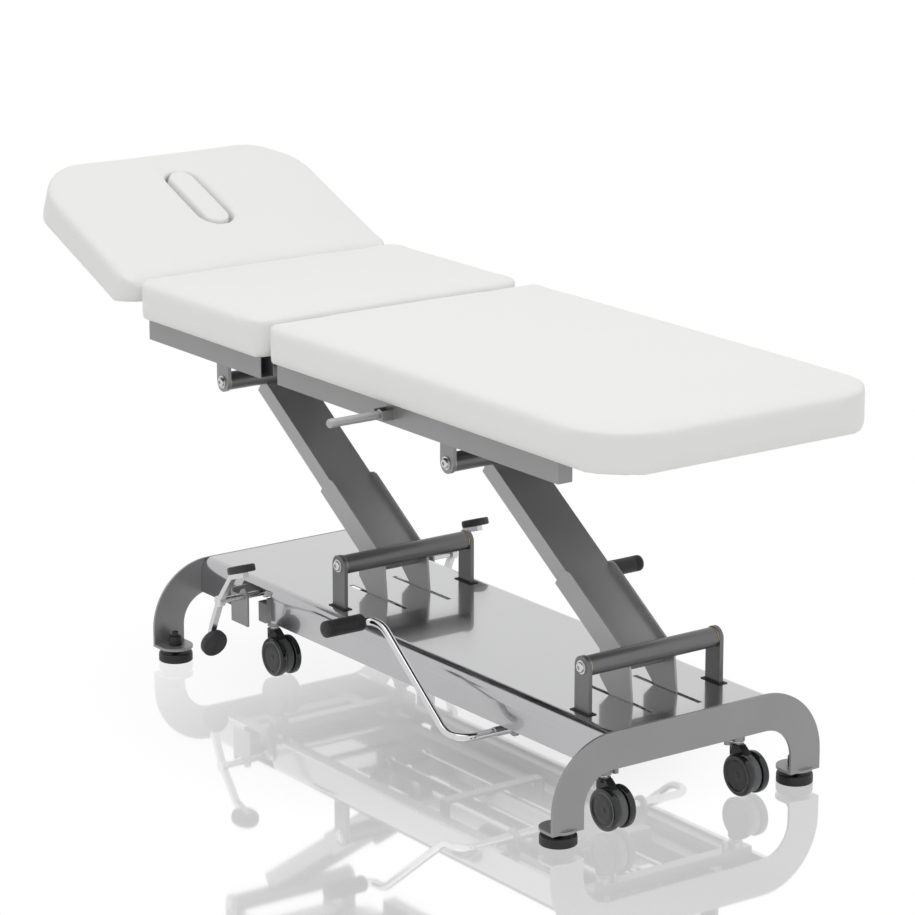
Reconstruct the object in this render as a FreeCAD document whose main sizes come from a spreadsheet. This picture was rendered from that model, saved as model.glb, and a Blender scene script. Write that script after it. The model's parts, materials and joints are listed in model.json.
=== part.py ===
import FreeCAD, Part
import math
import operator
import os

import Sketcher

# Hydraulic therapy table with a three-section top.
# Sub-parts are drawn about the centre of the base on the floor, and each finished
# one is placed so that the origin is on the floor under the middle of the whole
# table. +X runs to the foot end, +Z is up and -Y is the side with the release
# handle. All lengths are in millimetres, all angles in degrees. The lift stands
# at mid height and the head section is raised.

DRIVING_SIZES = [
    # Arch plates at the two ends of the base.
    ("base_half_length", 650.0),
    ("arch_half_width", 300.0),
    ("arch_plate", 5.0),
    ("arch_top", 189.0),
    ("arch_outer_radius", 128.0),
    ("arch_inner_radius", 60.0),
    ("arch_leg_bottom", 26.0),
    ("arch_leg_inner", 232.0),
    ("arch_crown", 121.0),
    # Levelling feet.
    ("foot_offset", 622.0),
    ("foot_pad_radius", 33.0),
    ("foot_pad_height", 18.0),
    ("foot_pad_edge", 3.0),
    ("foot_stem_radius", 6.0),
    ("foot_stem_top", 58.0),
    ("foot_hole_gap", 0.1),
    ("foot_nut_radius", 13.0),
    ("foot_nut_height", 18.0),
    ("foot_nut_edge", 3.0),
    ("foot_neck_radius", 10.0),
    ("foot_neck_height", 2.0),
    # Cover sheet of the base.
    ("cover_half_width", 190.0),
    ("cover_bottom", 121.0),
    ("cover_sheet", 2.0),
    ("cover_bend", 25.0),
    ("cover_lip", 10.0),
    ("end_gap", 0.3),
    # Base rails.
    ("rail_inner", 113.0),
    ("rail_width", 30.0),
    ("rail_height", 40.0),
    ("tube_wall", 2.0),
    ("cross_tube_width", 30.0),
    ("head_cross_tube_x", -605.0),
    ("saddle_rear_x", 60.0),
    ("saddle_front_x", 385.0),
    ("saddle_length", 24.0),
    ("saddle_sheet", 6.0),
    ("saddle_bend", 4.0),
    ("saddle_tab_height", 18.0),
    # Lift arms: pivots at the photographed height.
    ("foot_pivot_x", 535.0),
    ("head_pivot_x", -216.0),
    ("lower_pivot_height", 271.5),
    ("arm_length", 492.4),
    ("arm_rise_angle", 33.95),
    ("bracket_sheet", 8.0),
    ("lower_bracket_half_width", 20.0),
    ("upper_bracket_outer", 145.5),
    ("upper_bracket_half_width", 20.0),
    ("upper_bracket_drop", 3.0),
    ("bush_flange", 1.6),
    ("bush_flange_radius", 19.0),
    ("bush_radius", 12.0),
    ("bush_length", 30.0),
    ("side_gap", 0.4),
    ("running_gap", 0.05),
    ("pivot_bolt_radius", 8.0),
    ("pivot_bolt_length", 34.0),
    ("bolt_head_radius", 9.5),
    ("bolt_head_height", 5.5),
    ("bolt_dome", 4.0),
    ("socket_radius", 3.5),
    ("socket_depth", 3.0),
    ("washer_radius", 12.5),
    ("washer_height", 2.0),
    ("cross_tube_radius", 18.0),
    ("arm_half_width", 48.0),
    ("arm_face_drop", 9.0),
    ("arm_depth", 34.0),
    ("arm_wall", 3.0),
    ("cradle_sheet", 4.0),
    ("cradle_face_rise", 1.0),
    ("cradle_depth", 47.0),
    ("cradle_length", 218.0),
    ("cradle_corner", 24.0),
    ("lever_shoulder_bend", 30.0),
    ("lever_front", 6.0),
    ("lever_pin_across", 8.7),
    ("lever_pin_drop", 124.7),
    ("lever_pin_radius", 8.0),
    ("lever_boss_radius", 14.0),
    ("lever_rear_reach", 76.0),
    ("lever_rear_drop", 55.0),
    ("lever_shoulder_across", 44.0),
    ("lever_shoulder_drop", 86.0),
    # Slots in the cover and their rubber edging.
    ("lever_slot_rear", 106.0),
    ("lever_slot_front", 80.0),
    ("lever_slot_width", 10.0),
    ("bracket_slot_margin", 4.0),
    ("trim_rise", 1.5),
    ("trim_wall", 1.6),
    # Main hydraulic cylinder under the cover.
    ("barrel_radius", 25.0),
    ("barrel_bore", 20.0),
    ("barrel_height", 150.0),
    ("barrel_rear_x", 50.0),
    ("barrel_front_x", 412.0),
    ("barrel_cap", 12.0),
    ("ram_radius", 11.0),
    ("piston_length", 24.0),
    ("piston_x", 300.0),
    ("yoke_half_length", 19.0),
    ("yoke_half_width", 14.0),
    ("yoke_bottom", 131.0),
    ("yoke_top", 184.0),
    ("yoke_play", 4.0),
    ("yoke_slot_floor", 136.5),
    # Sync bars between the two lever pins.
    ("sync_bar_inner", 33.0),
    ("sync_bar_sheet", 6.0),
    ("sync_bar_half_height", 11.0),
    # Pump lever and pump.
    ("pump_axle_x", 334.0),
    ("pump_axle_height", 104.0),
    ("pump_axle_radius", 9.0),
    ("pump_axle_half", 192.0),
    ("pump_bearing_half", 16.0),
    ("pump_bearing_sheet", 6.0),
    ("pump_bearing_drop", 2.0),
    ("lever_rod_radius", 7.5),
    ("lever_plane", 262.0),
    ("grip_x", 51.0),
    ("grip_height", 253.0),
    ("grip_inner", 279.0),
    ("grip_length", 85.0),
    ("grip_radius", 15.5),
    ("grip_edge", 5.0),
    ("lever_high_bend_x", 92.0),
    ("lever_low_bend_x", 284.0),
    ("lever_bend", 50.0),
    ("axle_bend", 30.0),
    ("grip_bend", 17.0),
    ("grip_bore_depth", 60.0),
    ("lever_rod_insert", 30.0),
    ("crank_radius", 24.0),
    ("crank_half_width", 7.0),
    ("crank_boss_radius", 13.0),
    ("crank_tip_radius", 6.0),
    ("crank_web_half_width", 4.0),
    ("pump_block_x", 368.0),
    ("pump_block_length", 70.0),
    ("pump_block_half", 24.0),
    ("pump_block_bottom", 62.0),
    ("pump_block_edge", 5.0),
    ("plunger_height", 80.0),
    ("plunger_radius", 8.0),
    ("plunger_insert", 28.0),
    ("plunger_bore_depth", 46.0),
    ("plunger_gap", 0.6),
    # Caster carriage, casters and the pedals that lower them.
    ("carriage_bar_inner", 158.0),
    ("carriage_bar_width", 20.0),
    ("carriage_bar_bottom", 127.0),
    ("carriage_bar_height", 20.0),
    ("caster_foot_x", 600.0),
    ("caster_head_x", -443.0),
    ("caster_offset", 150.0),
    ("carriage_cross_width", 24.0),
    ("socket_collar_radius", 13.0),
    ("socket_collar_bottom", 95.0),
    ("guide_offset", 126.0),
    ("guide_radius", 6.0),
    ("guide_bottom", 92.0),
    ("lift_block_half", 14.0),
    ("caster_trail", 25.0),
    ("caster_radius", 38.5),
    ("caster_floor_gap", 2.0),
    ("caster_face", 23.5),
    ("caster_tread", 14.0),
    ("caster_web_half", 8.0),
    ("caster_web_radius", 33.0),
    ("caster_axle_radius", 4.0),
    ("caster_hood_gap", 3.0),
    ("caster_stem_radius", 5.5),
    ("caster_boss_radius", 12.0),
    ("caster_boss_bottom", 70.0),
    ("caster_boss_top", 89.0),
    ("caster_stem_top", 124.0),
    ("tread_edge", 4.0),
    ("caster_rim", 10.0),
    ("tread_dish", 2.5),
    ("rocker_x", -440.0),
    ("rocker_height", 168.0),
    ("rocker_axle_radius", 6.0),
    ("rocker_plane", 275.0),
    ("rocker_bar_width", 10.0),
    ("rocker_bar_depth", 12.0),
    ("rocker_bend", 60.0),
    ("rocker_neck_bend", 12.0),
    ("rocker_heel_bend", 60.0),
    ("rocker_neck_reach", 36.0),
    ("rocker_heel_reach", 31.0),
    ("rocker_seat_reach", 12.0),
    ("rocker_hub_radius", 11.0),
    ("pedal_lean", 18.0),
    ("high_pedal_across", 78.0),
    ("high_pedal_rise", 83.0),
    ("low_pedal_across", 25.0),
    ("low_pedal_drop", 91.0),
    ("pedal_radius", 27.0),
    ("pedal_height", 14.0),
    ("pedal_edge", 4.0),
    ("rocker_bracket_plane", 218.0),
    ("rocker_bracket_sheet", 4.0),
    ("rocker_bracket_rear", 484.0),
    ("rocker_bracket_half", 14.0),
    ("rocker_bracket_bottom", 109.0),
    ("rocker_web_bottom", 151.0),
    ("rocker_web_top", 176.0),
    ("side_window_head", -496.0),
    ("side_window_foot", -392.0),
    ("side_window_top", 180.0),
    ("cam_arm_length", 28.0),
    ("cam_arm_half_height", 5.0),
    ("cam_inner", 162.0),
    ("cam_sheet", 12.0),
    ("cam_gap", 0.6),
    ("cam_roller_radius", 8.0),
    ("cam_hub_radius", 11.0),
    # Lift frame that carries the three sections.
    ("chassis_rail_bottom", 604.0),
    ("chassis_rail_height", 40.0),
    ("chassis_rail_width", 30.0),
    ("chassis_head_x", -668.0),
    ("chassis_foot_x", 212.0),
    ("chassis_strip_bottom", 610.0),
    ("chassis_strip", 8.0),
    ("chassis_strip_width", 50.0),
    ("strip_a_x", -625.0),
    ("strip_b_x", -460.0),
    ("strip_c_x", -300.0),
    ("strip_d_x", 100.0),
    ("side_tube_outer", 286.0),
    ("side_tube_width", 30.0),
    ("side_tube_height", 42.0),
    ("mid_frame_head_x", -663.0),
    ("mid_frame_foot_x", -268.0),
    ("low_cross_height", 20.0),
    ("mid_cross_x", -560.0),
    ("mid_cross_width", 20.0),
    ("mid_end_cross_x", -655.0),
    ("leg_frame_head_x", -211.0),
    ("leg_frame_foot_x", 640.0),
    ("leg_cross_lift", 2.0),
    ("leg_cross_x", 182.0),
    ("buffer_radius", 10.0),
    # Cushions.
    ("cushion_half_width", 318.0),
    ("cushion_height", 78.0),
    ("joint_corner", 58.0),
    ("end_corner", 140.0),
    ("head_end_corner", 150.0),
    ("cushion_edge", 17.0),
    ("mid_cushion_head_x", -690.0),
    ("mid_cushion_foot_x", -240.0),
    ("joint_gap", 4.0),
    ("nose_radius", 36.0),
    ("leg_cushion_foot_x", 818.0),
    ("head_cushion_length", 420.0),
    ("head_undercut", 26.0),
    ("head_nose_drop", 14.0),
    # Hinges of the tilting sections.
    ("head_tilt", 22.5),
    ("strap_plane", 200.0),
    ("strap_sheet", 5.0),
    ("strap_half_width", 7.0),
    ("strap_drop", 60.0),
    ("strap_foot", 14.0),
    ("strap_lift", 4.0),
    ("strap_bend", 10.0),
    ("strap_head_drop", 2.0),
    ("pin_stub", 4.0),
    ("lug_gap", 1.0),
    ("hinge_pin_radius", 4.0),
    ("hinge_pocket", 22.0),
    ("hinge_pocket_above", 12.0),
    ("hinge_pocket_beyond", 16.0),
    ("lug_sheet", 6.0),
    ("lug_half_width", 9.0),
    # Gas springs.
    ("spring_height", 630.0),
    ("spring_radius", 12.0),
    ("spring_bore", 9.0),
    ("spring_length", 186.0),
    ("spring_offset", 40.0),
    ("spring_rod_radius", 4.0),
    ("spring_side_gap", 1.0),
    ("leg_barrel_x", -450.0),
    ("head_barrel_x", -654.0),
    ("leg_piston_x", -434.0),
    ("head_piston_x", -604.0),
    ("spring_piston_length", 12.0),
    ("spring_cap", 6.0),
    ("spring_lever", 100.0),
    ("leg_lever_lean", 30.0),
    ("head_lever_lean", 5.0),
    ("spring_lever_sheet", 4.0),
    ("spring_pin_radius", 5.0),
    ("spring_pin_boss", 10.0),
    ("spring_yoke_half_length", 12.0),
    ("spring_yoke_half_width", 4.0),
    ("spring_yoke_bottom", 617.0),
    ("spring_yoke_top", 656.0),
    ("spring_yoke_play", 3.0),
    # Head section frame and face plug.
    ("head_bar_offset", 150.0),
    ("head_bar_width", 30.0),
    ("head_bar_height", 12.0),
    ("head_bar_reach", 330.0),
    ("head_cross_start", 50.0),
    ("head_cross_width", 30.0),
    ("head_strip_x", 180.0),
    ("face_slot_centre", 235.0),
    ("face_slot_half_length", 100.0),
    ("face_slot_half_width", 33.0),
    ("plug_gap", 1.0),
    # Release handle on the leg section.
    ("handle_x", 150.0),
    ("handle_height", 665.0),
    ("handle_pivot_offset", 302.0),
    ("handle_tip", 417.0),
    ("handle_radius", 7.5),
    ("handle_collar_radius", 11.0),
    ("handle_collar_half", 6.0),
    ("handle_pin_radius", 2.5),
    ("handle_ear_sheet", 3.0),
    ("handle_ear_half_height", 9.0),
    ("handle_tip_radius", 8.5),
    ("handle_tip_length", 6.0),
    ("handle_edge", 2.0),
]

ARITHMETIC = {
    "+": operator.add,
    "-": operator.sub,
    "*": operator.mul,
    "/": operator.truediv,
}


class Size:
    """A length or angle together with the formula that gives it."""

    def __init__(self, value, formula):
        self.value = value
        self.formula = formula

    def combine(self, sign, other, other_first=False):
        other = as_size(other)
        left, right = (other, self) if other_first else (self, other)
        value = ARITHMETIC[sign](left.value, right.value)
        return Size(value, f"({left.formula} {sign} {right.formula})")

    def __add__(self, other):
        return self.combine("+", other)

    def __radd__(self, other):
        return self.combine("+", other, other_first=True)

    def __sub__(self, other):
        return self.combine("-", other)

    def __rsub__(self, other):
        return self.combine("-", other, other_first=True)

    def __mul__(self, other):
        return self.combine("*", other)

    def __rmul__(self, other):
        return self.combine("*", other, other_first=True)

    def __truediv__(self, other):
        return self.combine("/", other)

    def __neg__(self):
        return 0 - self


def as_size(number):
    """Give a plain number the same form as a named size."""
    if isinstance(number, Size):
        return number
    return Size(float(number), f"({float(number)})")


def sine(angle):
    angle = as_size(angle)
    return Size(math.sin(math.radians(angle.value)), f"sin({angle.formula})")


def cosine(angle):
    angle = as_size(angle)
    return Size(math.cos(math.radians(angle.value)), f"cos({angle.formula})")


class SizeTable:
    """The spreadsheet of driving sizes, read by name."""

    def __init__(self, document, rows):
        self.known = dict(rows)
        sheet = document.addObject("Spreadsheet::Sheet", "Sizes")
        for row, (name, value) in enumerate(rows, start=1):
            sheet.set(f"A{row}", name)
            sheet.set(f"B{row}", str(value))
            sheet.setAlias(f"B{row}", name)

    def __getattr__(self, name):
        return Size(self.known[name], f"Sizes.{name}")


document = FreeCAD.newDocument("TherapyTable")
size = SizeTable(document, DRIVING_SIZES)
document.recompute()

NORMAL_SIGN = {"XY_Plane": 1, "XZ_Plane": -1, "YZ_Plane": 1}
AXIS_TURN = {
    "X": FreeCAD.Rotation(FreeCAD.Vector(0, 1, 0), 90),
    "Y": FreeCAD.Rotation(FreeCAD.Vector(1, 0, 0), -90),
    "-Y": FreeCAD.Rotation(FreeCAD.Vector(1, 0, 0), 90),
    "Z": FreeCAD.Rotation(),
}


def bind(thing, path, amount):
    """Tie one property of a document object to a size."""
    thing.setExpression(path, as_size(amount).formula)


def bind_position(thing, position):
    for axis, amount in zip("xyz", position):
        bind(thing, f"Placement.Base.{axis}", amount)


# Part primitives and booleans.


def box(x_range, y_range, z_range):
    """Block between two limits along each axis."""
    block = document.addObject("Part::Box", "Block")
    ranges = (x_range, y_range, z_range)
    for path, (low, high) in zip(("Length", "Width", "Height"), ranges):
        bind(block, path, high - as_size(low))
    bind_position(block, [low for low, high in ranges])
    return block


def rod(axis, start, radius, length):
    """Round bar from a start point along one axis."""
    bar = document.addObject("Part::Cylinder", "Rod")
    bar.Placement.Rotation = AXIS_TURN[axis]
    bind(bar, "Radius", radius)
    bind(bar, "Height", length)
    bind_position(bar, start)
    return bar


def ring(axis, start, radius, bore, length):
    """Round bar with a bore through it."""
    return cut(rod(axis, start, radius, length), rod(axis, start, bore, length))


def fuse(*pieces):
    whole = document.addObject("Part::MultiFuse", "Joined")
    whole.Shapes = list(pieces)
    whole.Refine = True
    return whole


def cut(base, *tools):
    result = document.addObject("Part::Cut", "Trimmed")
    result.Base = base
    result.Tool = tools[0] if len(tools) == 1 else fuse(*tools)
    return result


def common(first, second):
    result = document.addObject("Part::Common", "Shared")
    result.Base = first
    result.Tool = second
    return result


def group(*pieces):
    """Several separate solids kept together as one node."""
    members = document.addObject("Part::Compound", "Group")
    members.Links = list(pieces)
    return members


def mirrored(piece):
    """Copy of a piece on the other side of the table."""
    copy = document.addObject("Part::Mirroring", "OtherSide")
    copy.Source = piece
    copy.Normal = (0, 1, 0)
    copy.Base = (0, 0, 0)
    return copy


def both_sides(piece):
    return group(piece, mirrored(piece))


def hollow_tube(axis, x_range, y_range, z_range):
    """Rectangular tube open at both ends along one axis."""
    wall = size.tube_wall
    inner = []
    for name, (low, high) in zip("XYZ", (x_range, y_range, z_range)):
        if name == axis:
            inner.append((low, high))
        else:
            inner.append((low + wall, high - wall))
    return cut(box(x_range, y_range, z_range), box(*inner))


# Bodies built from sketches.


def new_sketch(body, plane, offset):
    """Sketch on one of the body's own origin planes, moved along its normal."""
    sketch = body.newObject("Sketcher::SketchObject", "Sketch")
    support = [part for part in body.Origin.OriginFeatures if part.Role == plane][0]
    sketch.AttachmentSupport = [(support, "")]
    sketch.MapMode = "FlatFace"
    bind(sketch, "AttachmentOffset.Base.z", offset)
    return sketch


def constrain(sketch, amount, kind, *references):
    """Add a constraint whose value follows a size."""
    amount = as_size(amount)
    index = sketch.addConstraint(Sketcher.Constraint(kind, *references, amount.value))
    sketch.setExpression(f"Constraints[{index}]", amount.formula)


def fix_point(sketch, geometry, end, across, along):
    constrain(sketch, across, "DistanceX", -1, 1, geometry, end)
    constrain(sketch, along, "DistanceY", -1, 1, geometry, end)


def draw_circle(sketch, across, along, radius):
    centre = FreeCAD.Vector(as_size(across).value, as_size(along).value, 0)
    circle = Part.Circle(centre, FreeCAD.Vector(0, 0, 1), as_size(radius).value)
    index = sketch.addGeometry(circle)
    constrain(sketch, radius, "Radius", index)
    fix_point(sketch, index, 3, across, along)


def corner_arc(before, corner, after, radius):
    """Tangent arc that rounds a corner: end points, centre and turn direction."""
    back = (before - corner).normalize()
    ahead = (after - corner).normalize()
    half_angle = back.getAngle(ahead) / 2
    reach = radius / math.tan(half_angle)
    start = corner + back * reach
    end = corner + ahead * reach
    bisector = (back + ahead).normalize()
    centre = corner + bisector * (radius / math.sin(half_angle))
    left_turn = back.cross(ahead).z < 0
    return start, end, centre, left_turn


def draw_outline(sketch, corners, closed=True):
    """Outline through corners (across, along), or (across, along, radius) where rounded."""
    points = [FreeCAD.Vector(as_size(c[0]).value, as_size(c[1]).value, 0) for c in corners]
    count = len(corners)
    arcs = {}
    starts = list(points)
    ends = list(points)
    for index, corner in enumerate(corners):
        if len(corner) == 3:
            radius = as_size(corner[2]).value
            neighbours = points[index - 1], points[index], points[(index + 1) % count]
            starts[index], ends[index], centre, left_turn = corner_arc(*neighbours, radius)
            arcs[index] = (centre, left_turn, radius)
    lines = []
    for index in range(count if closed else count - 1):
        segment = Part.LineSegment(ends[index], starts[(index + 1) % count])
        lines.append(sketch.addGeometry(segment))
    if not closed:
        fix_point(sketch, lines[0], 1, *corners[0])
        fix_point(sketch, lines[-1], 2, *corners[-1])
    for index, corner in enumerate(corners):
        if not closed and index in (0, count - 1):
            continue
        line_in = lines[index - 1]
        line_out = lines[index]
        if index in arcs:
            round_corner(sketch, corner, points[index], starts[index], ends[index],
                         arcs[index], line_in, line_out)
        else:
            sketch.addConstraint(Sketcher.Constraint("Coincident", line_in, 2, line_out, 1))
            fix_point(sketch, line_out, 1, corner[0], corner[1])


def round_corner(sketch, corner, point, start, end, arc, line_in, line_out):
    """Add the tangent arc of one corner and tie it to its two lines."""
    centre, left_turn, radius = arc
    begin, finish = (start, end) if left_turn else (end, start)
    first = math.atan2(begin.y - centre.y, begin.x - centre.x)
    last = math.atan2(finish.y - centre.y, finish.x - centre.x)
    circle = Part.Circle(centre, FreeCAD.Vector(0, 0, 1), radius)
    curve = sketch.addGeometry(Part.ArcOfCircle(circle, first, last))
    in_end, out_end = (1, 2) if left_turn else (2, 1)
    sketch.addConstraint(Sketcher.Constraint("Tangent", line_in, 2, curve, in_end))
    sketch.addConstraint(Sketcher.Constraint("Tangent", curve, out_end, line_out, 1))
    constrain(sketch, corner[2], "Radius", curve)
    marker = sketch.addGeometry(Part.Point(point))
    sketch.setConstruction(marker, True)
    fix_point(sketch, marker, 1, corner[0], corner[1])
    sketch.addConstraint(Sketcher.Constraint("PointOnObject", marker, 1, line_in))
    sketch.addConstraint(Sketcher.Constraint("PointOnObject", marker, 1, line_out))


def plane_offset(plane, low, high):
    """Distance along the plane's normal at which a pad from low to high starts."""
    if NORMAL_SIGN[plane] > 0:
        return as_size(low)
    return -as_size(high)


def new_body():
    return document.addObject("PartDesign::Body", "Body")


def pad(body, plane, outline, low, high, circles=()):
    """Add a prism between two limits along the plane's axis."""
    sketch = new_sketch(body, plane, plane_offset(plane, low, high))
    if outline:
        draw_outline(sketch, outline)
    for circle in circles:
        draw_circle(sketch, *circle)
    feature = body.newObject("PartDesign::Pad", "Pad")
    feature.Profile = sketch
    bind(feature, "Length", as_size(high) - low)
    sketch.Visibility = False
    return feature


def pocket(body, plane, outline, low, high, circles=()):
    """Remove a prism between two limits along the plane's axis."""
    before = volume_of(body)
    sketch = new_sketch(body, plane, plane_offset(plane, low, high))
    if outline:
        draw_outline(sketch, outline)
    for circle in circles:
        draw_circle(sketch, *circle)
    feature = body.newObject("PartDesign::Pocket", "Pocket")
    feature.Profile = sketch
    feature.Type = "Length"
    feature.Reversed = True
    bind(feature, "Length", as_size(high) - low)
    if not volume_of(body) < before:
        raise RuntimeError(f"{body.Name}: a pocket removes nothing")
    return feature


def volume_of(body):
    document.recompute()
    return body.Shape.Volume


def prism(plane, outline, low, high, circles=()):
    """Body made of one pad."""
    body = new_body()
    pad(body, plane, outline, low, high, circles)
    return body


def turned(axis, position, profile):
    """Body of revolution about a line through position along one axis.

    The profile lists (distance from the axis, distance along the axis) corners.
    """
    body = new_body()
    sketch = new_sketch(body, "XZ_Plane", 0)
    draw_outline(sketch, profile)
    feature = body.newObject("PartDesign::Revolution", "Revolution")
    feature.Profile = sketch
    feature.ReferenceAxis = (sketch, ["V_Axis"])
    feature.Angle = 360
    body.Placement.Rotation = AXIS_TURN[axis]
    bind_position(body, position)
    return body


def swept(plane, offset, path, draw_profile):
    """Bar that follows a path drawn on one plane."""
    body = new_body()
    spine = new_sketch(body, plane, offset)
    draw_outline(spine, path, closed=False)
    document.recompute()
    profile = body.newObject("Sketcher::SketchObject", "Profile")
    profile.AttachmentSupport = [(spine, "Edge1"), (spine, "Vertex1")]
    profile.MapMode = "NormalToEdge"
    draw_profile(profile)
    feature = body.newObject("PartDesign::AdditivePipe", "Pipe")
    feature.Profile = profile
    feature.Spine = spine
    return body


def quarter_bend(centre, bend, radius, turn):
    """Quarter of a round bar bent about the vertical, started at an angle."""
    curve = document.addObject("Part::Torus", "Bend")
    curve.Angle3 = 90
    bind(curve, "Radius1", bend)
    bind(curve, "Radius2", radius)
    curve.Placement.Rotation = FreeCAD.Rotation(FreeCAD.Vector(0, 0, 1), turn)
    bind_position(curve, centre)
    return curve


def hex_bar(axis, start, radius, length):
    bar = document.addObject("Part::Prism", "HexBar")
    bar.Polygon = 6
    bar.Placement.Rotation = AXIS_TURN[axis]
    bind(bar, "Circumradius", radius)
    bind(bar, "Height", length)
    bind_position(bar, start)
    return bar


def oval_prism(centre, half_length, half_width, z_range):
    """Long rounded slot shape, its length along X."""
    low, high = z_range
    flat = half_length - half_width
    block = box((centre - flat, centre + flat), (-half_width, half_width), z_range)
    ends = [rod("Z", (centre + side * flat, 0, low), half_width, high - low) for side in (-1, 1)]
    return fuse(block, *ends)


def span(side, near, far):
    """Limits of a stretch from near to far, on the side given by a sign."""
    return (near, far) if side > 0 else (-far, -near)


def name(piece, label):
    """Stand a finished sub-part about the table's origin and list it under its name."""
    stood = group(piece)
    bind_position(stood, (-middle_x, -middle_y, 0))
    stood.Label = label
    nodes.append(stood)


nodes = []

# Share of a circle's radius at 45 degrees to its axes.
DIAGONAL = math.sqrt(0.5)


# Places that several sub-parts share.

rail_top = size.arch_top - size.cover_sheet
rail_bottom = rail_top - size.rail_height
rail_outer = size.rail_inner + size.rail_width
arch_inside = size.base_half_length - size.arch_plate
bracket_inner = rail_outer
bracket_outer = bracket_inner + size.bracket_sheet
upper_inner = size.upper_bracket_outer - size.bracket_sheet
arm_rise = size.arm_length * sine(size.arm_rise_angle)
upper_pivot_height = size.lower_pivot_height + arm_rise
lever_pin_height = size.lower_pivot_height - size.lever_pin_drop
bush_bore = size.pivot_bolt_radius + size.running_gap
chassis_top = size.chassis_rail_bottom + size.chassis_rail_height
chassis_inner = upper_inner - size.chassis_rail_width
side_tube_top = chassis_top + size.side_tube_height
side_tube_inner = size.side_tube_outer - size.side_tube_width
low_cross_top = chassis_top + size.low_cross_height
leg_cross_bottom = chassis_top + size.leg_cross_lift
leg_cross_top = leg_cross_bottom + size.low_cross_height
cushion_top = side_tube_top + size.cushion_height
hinge_height = cushion_top - size.nose_radius
hinge_above_frame = hinge_height - side_tube_top
leg_hinge_x = size.mid_cushion_foot_x + size.joint_gap + size.nose_radius
head_hinge_x = size.mid_cushion_head_x - size.joint_gap - size.nose_radius
lug_inner = size.strap_plane + size.strap_sheet + size.lug_gap
saddle_bottom = size.barrel_height - size.barrel_radius - size.saddle_sheet
foot_y = (size.arch_leg_inner + size.arch_half_width) / 2
cross_bottom = size.carriage_bar_bottom - size.carriage_bar_height
carriage_outer = size.carriage_bar_inner + size.carriage_bar_width
cam_x = size.rocker_x + size.cam_arm_length
high_pedal = (size.high_pedal_across, size.high_pedal_rise, -size.pedal_lean)
low_pedal = (-size.low_pedal_across, -size.low_pedal_drop, 90 + size.pedal_lean)
# Middle of the whole table: along between the two cushion ends, across between the
# tip of the release handle and the end of the far grip.
head_reach = (
    (size.head_cushion_length - size.cushion_edge) * cosine(size.head_tilt)
    + (hinge_above_frame - size.cushion_edge) * sine(size.head_tilt)
    + size.cushion_edge
)
middle_x = (size.leg_cushion_foot_x + head_hinge_x - head_reach) / 2
middle_y = (size.grip_inner + size.grip_length - size.handle_tip) / 2

TABLE_ENDS = {"foot": 1, "head": -1}
TABLE_SIDES = {"near": -1, "far": 1}


def arm_point(pivot_x, along, across):
    """Point of an arm: along from its lower pivot, across towards its upper face."""
    rise = size.arm_rise_angle
    x = pivot_x - along * cosine(rise) + across * sine(rise)
    z = size.lower_pivot_height + along * sine(rise) + across * cosine(rise)
    return x, z


# Base.


def arch_plate(end):
    """Arched plate that closes one end of the base, with its two foot tabs."""
    half, top, bottom = size.arch_half_width, size.arch_top, size.arch_leg_bottom
    leg_inner, crown = size.arch_leg_inner, size.arch_crown
    outline = [
        (-half, bottom),
        (-half, top, size.arch_outer_radius),
        (half, top, size.arch_outer_radius),
        (half, bottom),
        (leg_inner, bottom),
        (leg_inner, crown, size.arch_inner_radius),
        (-leg_inner, crown, size.arch_inner_radius),
        (-leg_inner, bottom),
    ]
    body = new_body()
    pad(body, "YZ_Plane", outline, *span(end, arch_inside, size.base_half_length))
    tab_middle = (leg_inner + half) / 2
    tab_radius = (half - leg_inner) / 2
    tab_top = bottom + size.arch_plate
    low_x, high_x = span(end, size.foot_offset, size.base_half_length)
    for side in TABLE_SIDES.values():
        low_y, high_y = span(side, leg_inner, half)
        tab = [(low_x, low_y), (high_x, low_y), (high_x, high_y), (low_x, high_y)]
        foot = (end * size.foot_offset, side * tab_middle)
        pad(body, "XY_Plane", tab, bottom, tab_top)
        pad(body, "XY_Plane", None, bottom, tab_top, [(*foot, tab_radius)])
        hole = size.foot_stem_radius + size.foot_hole_gap
        pocket(body, "XY_Plane", None, bottom, tab_top, [(*foot, hole)])
    return body


def base_rails():
    """Two long rails, one cross tube, two cylinder saddles and the carriage's guide pins."""
    length = (-arch_inside, arch_inside)
    rail = hollow_tube("X", length, (size.rail_inner, rail_outer), (rail_bottom, rail_top))
    axle_bore = rod("Y", (size.rocker_x, size.rail_inner, size.rocker_height),
                    size.rocker_axle_radius + size.running_gap, size.rail_width)
    rail = cut(rail, axle_bore)
    pins = [
        rod("Z", (x, size.guide_offset, size.guide_bottom), size.guide_radius,
            rail_bottom - size.guide_bottom)
        for x in (size.caster_foot_x, size.caster_head_x)
    ]
    cross_x = (size.head_cross_tube_x, size.head_cross_tube_x + size.cross_tube_width)
    cross = hollow_tube("Y", cross_x, (-size.rail_inner, size.rail_inner), (rail_bottom, rail_top))
    saddles = [cylinder_saddle(x) for x in (size.saddle_rear_x, size.saddle_front_x)]
    return fuse(both_sides(fuse(rail, *pins)), cross, *saddles)


def cylinder_saddle(start_x):
    """Folded strap between the rails that carries the lift cylinder."""
    flat_top = size.barrel_height - size.barrel_radius
    tab_inner = size.rail_inner - size.saddle_sheet
    tab_top = rail_bottom + size.saddle_tab_height
    outline = [
        (-size.rail_inner, saddle_bottom, size.saddle_bend),
        (size.rail_inner, saddle_bottom, size.saddle_bend),
        (size.rail_inner, tab_top),
        (tab_inner, tab_top),
        (tab_inner, flat_top),
        (-tab_inner, flat_top),
        (-tab_inner, tab_top),
        (-size.rail_inner, tab_top),
    ]
    return prism("YZ_Plane", outline, start_x, start_x + size.saddle_length)


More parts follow.
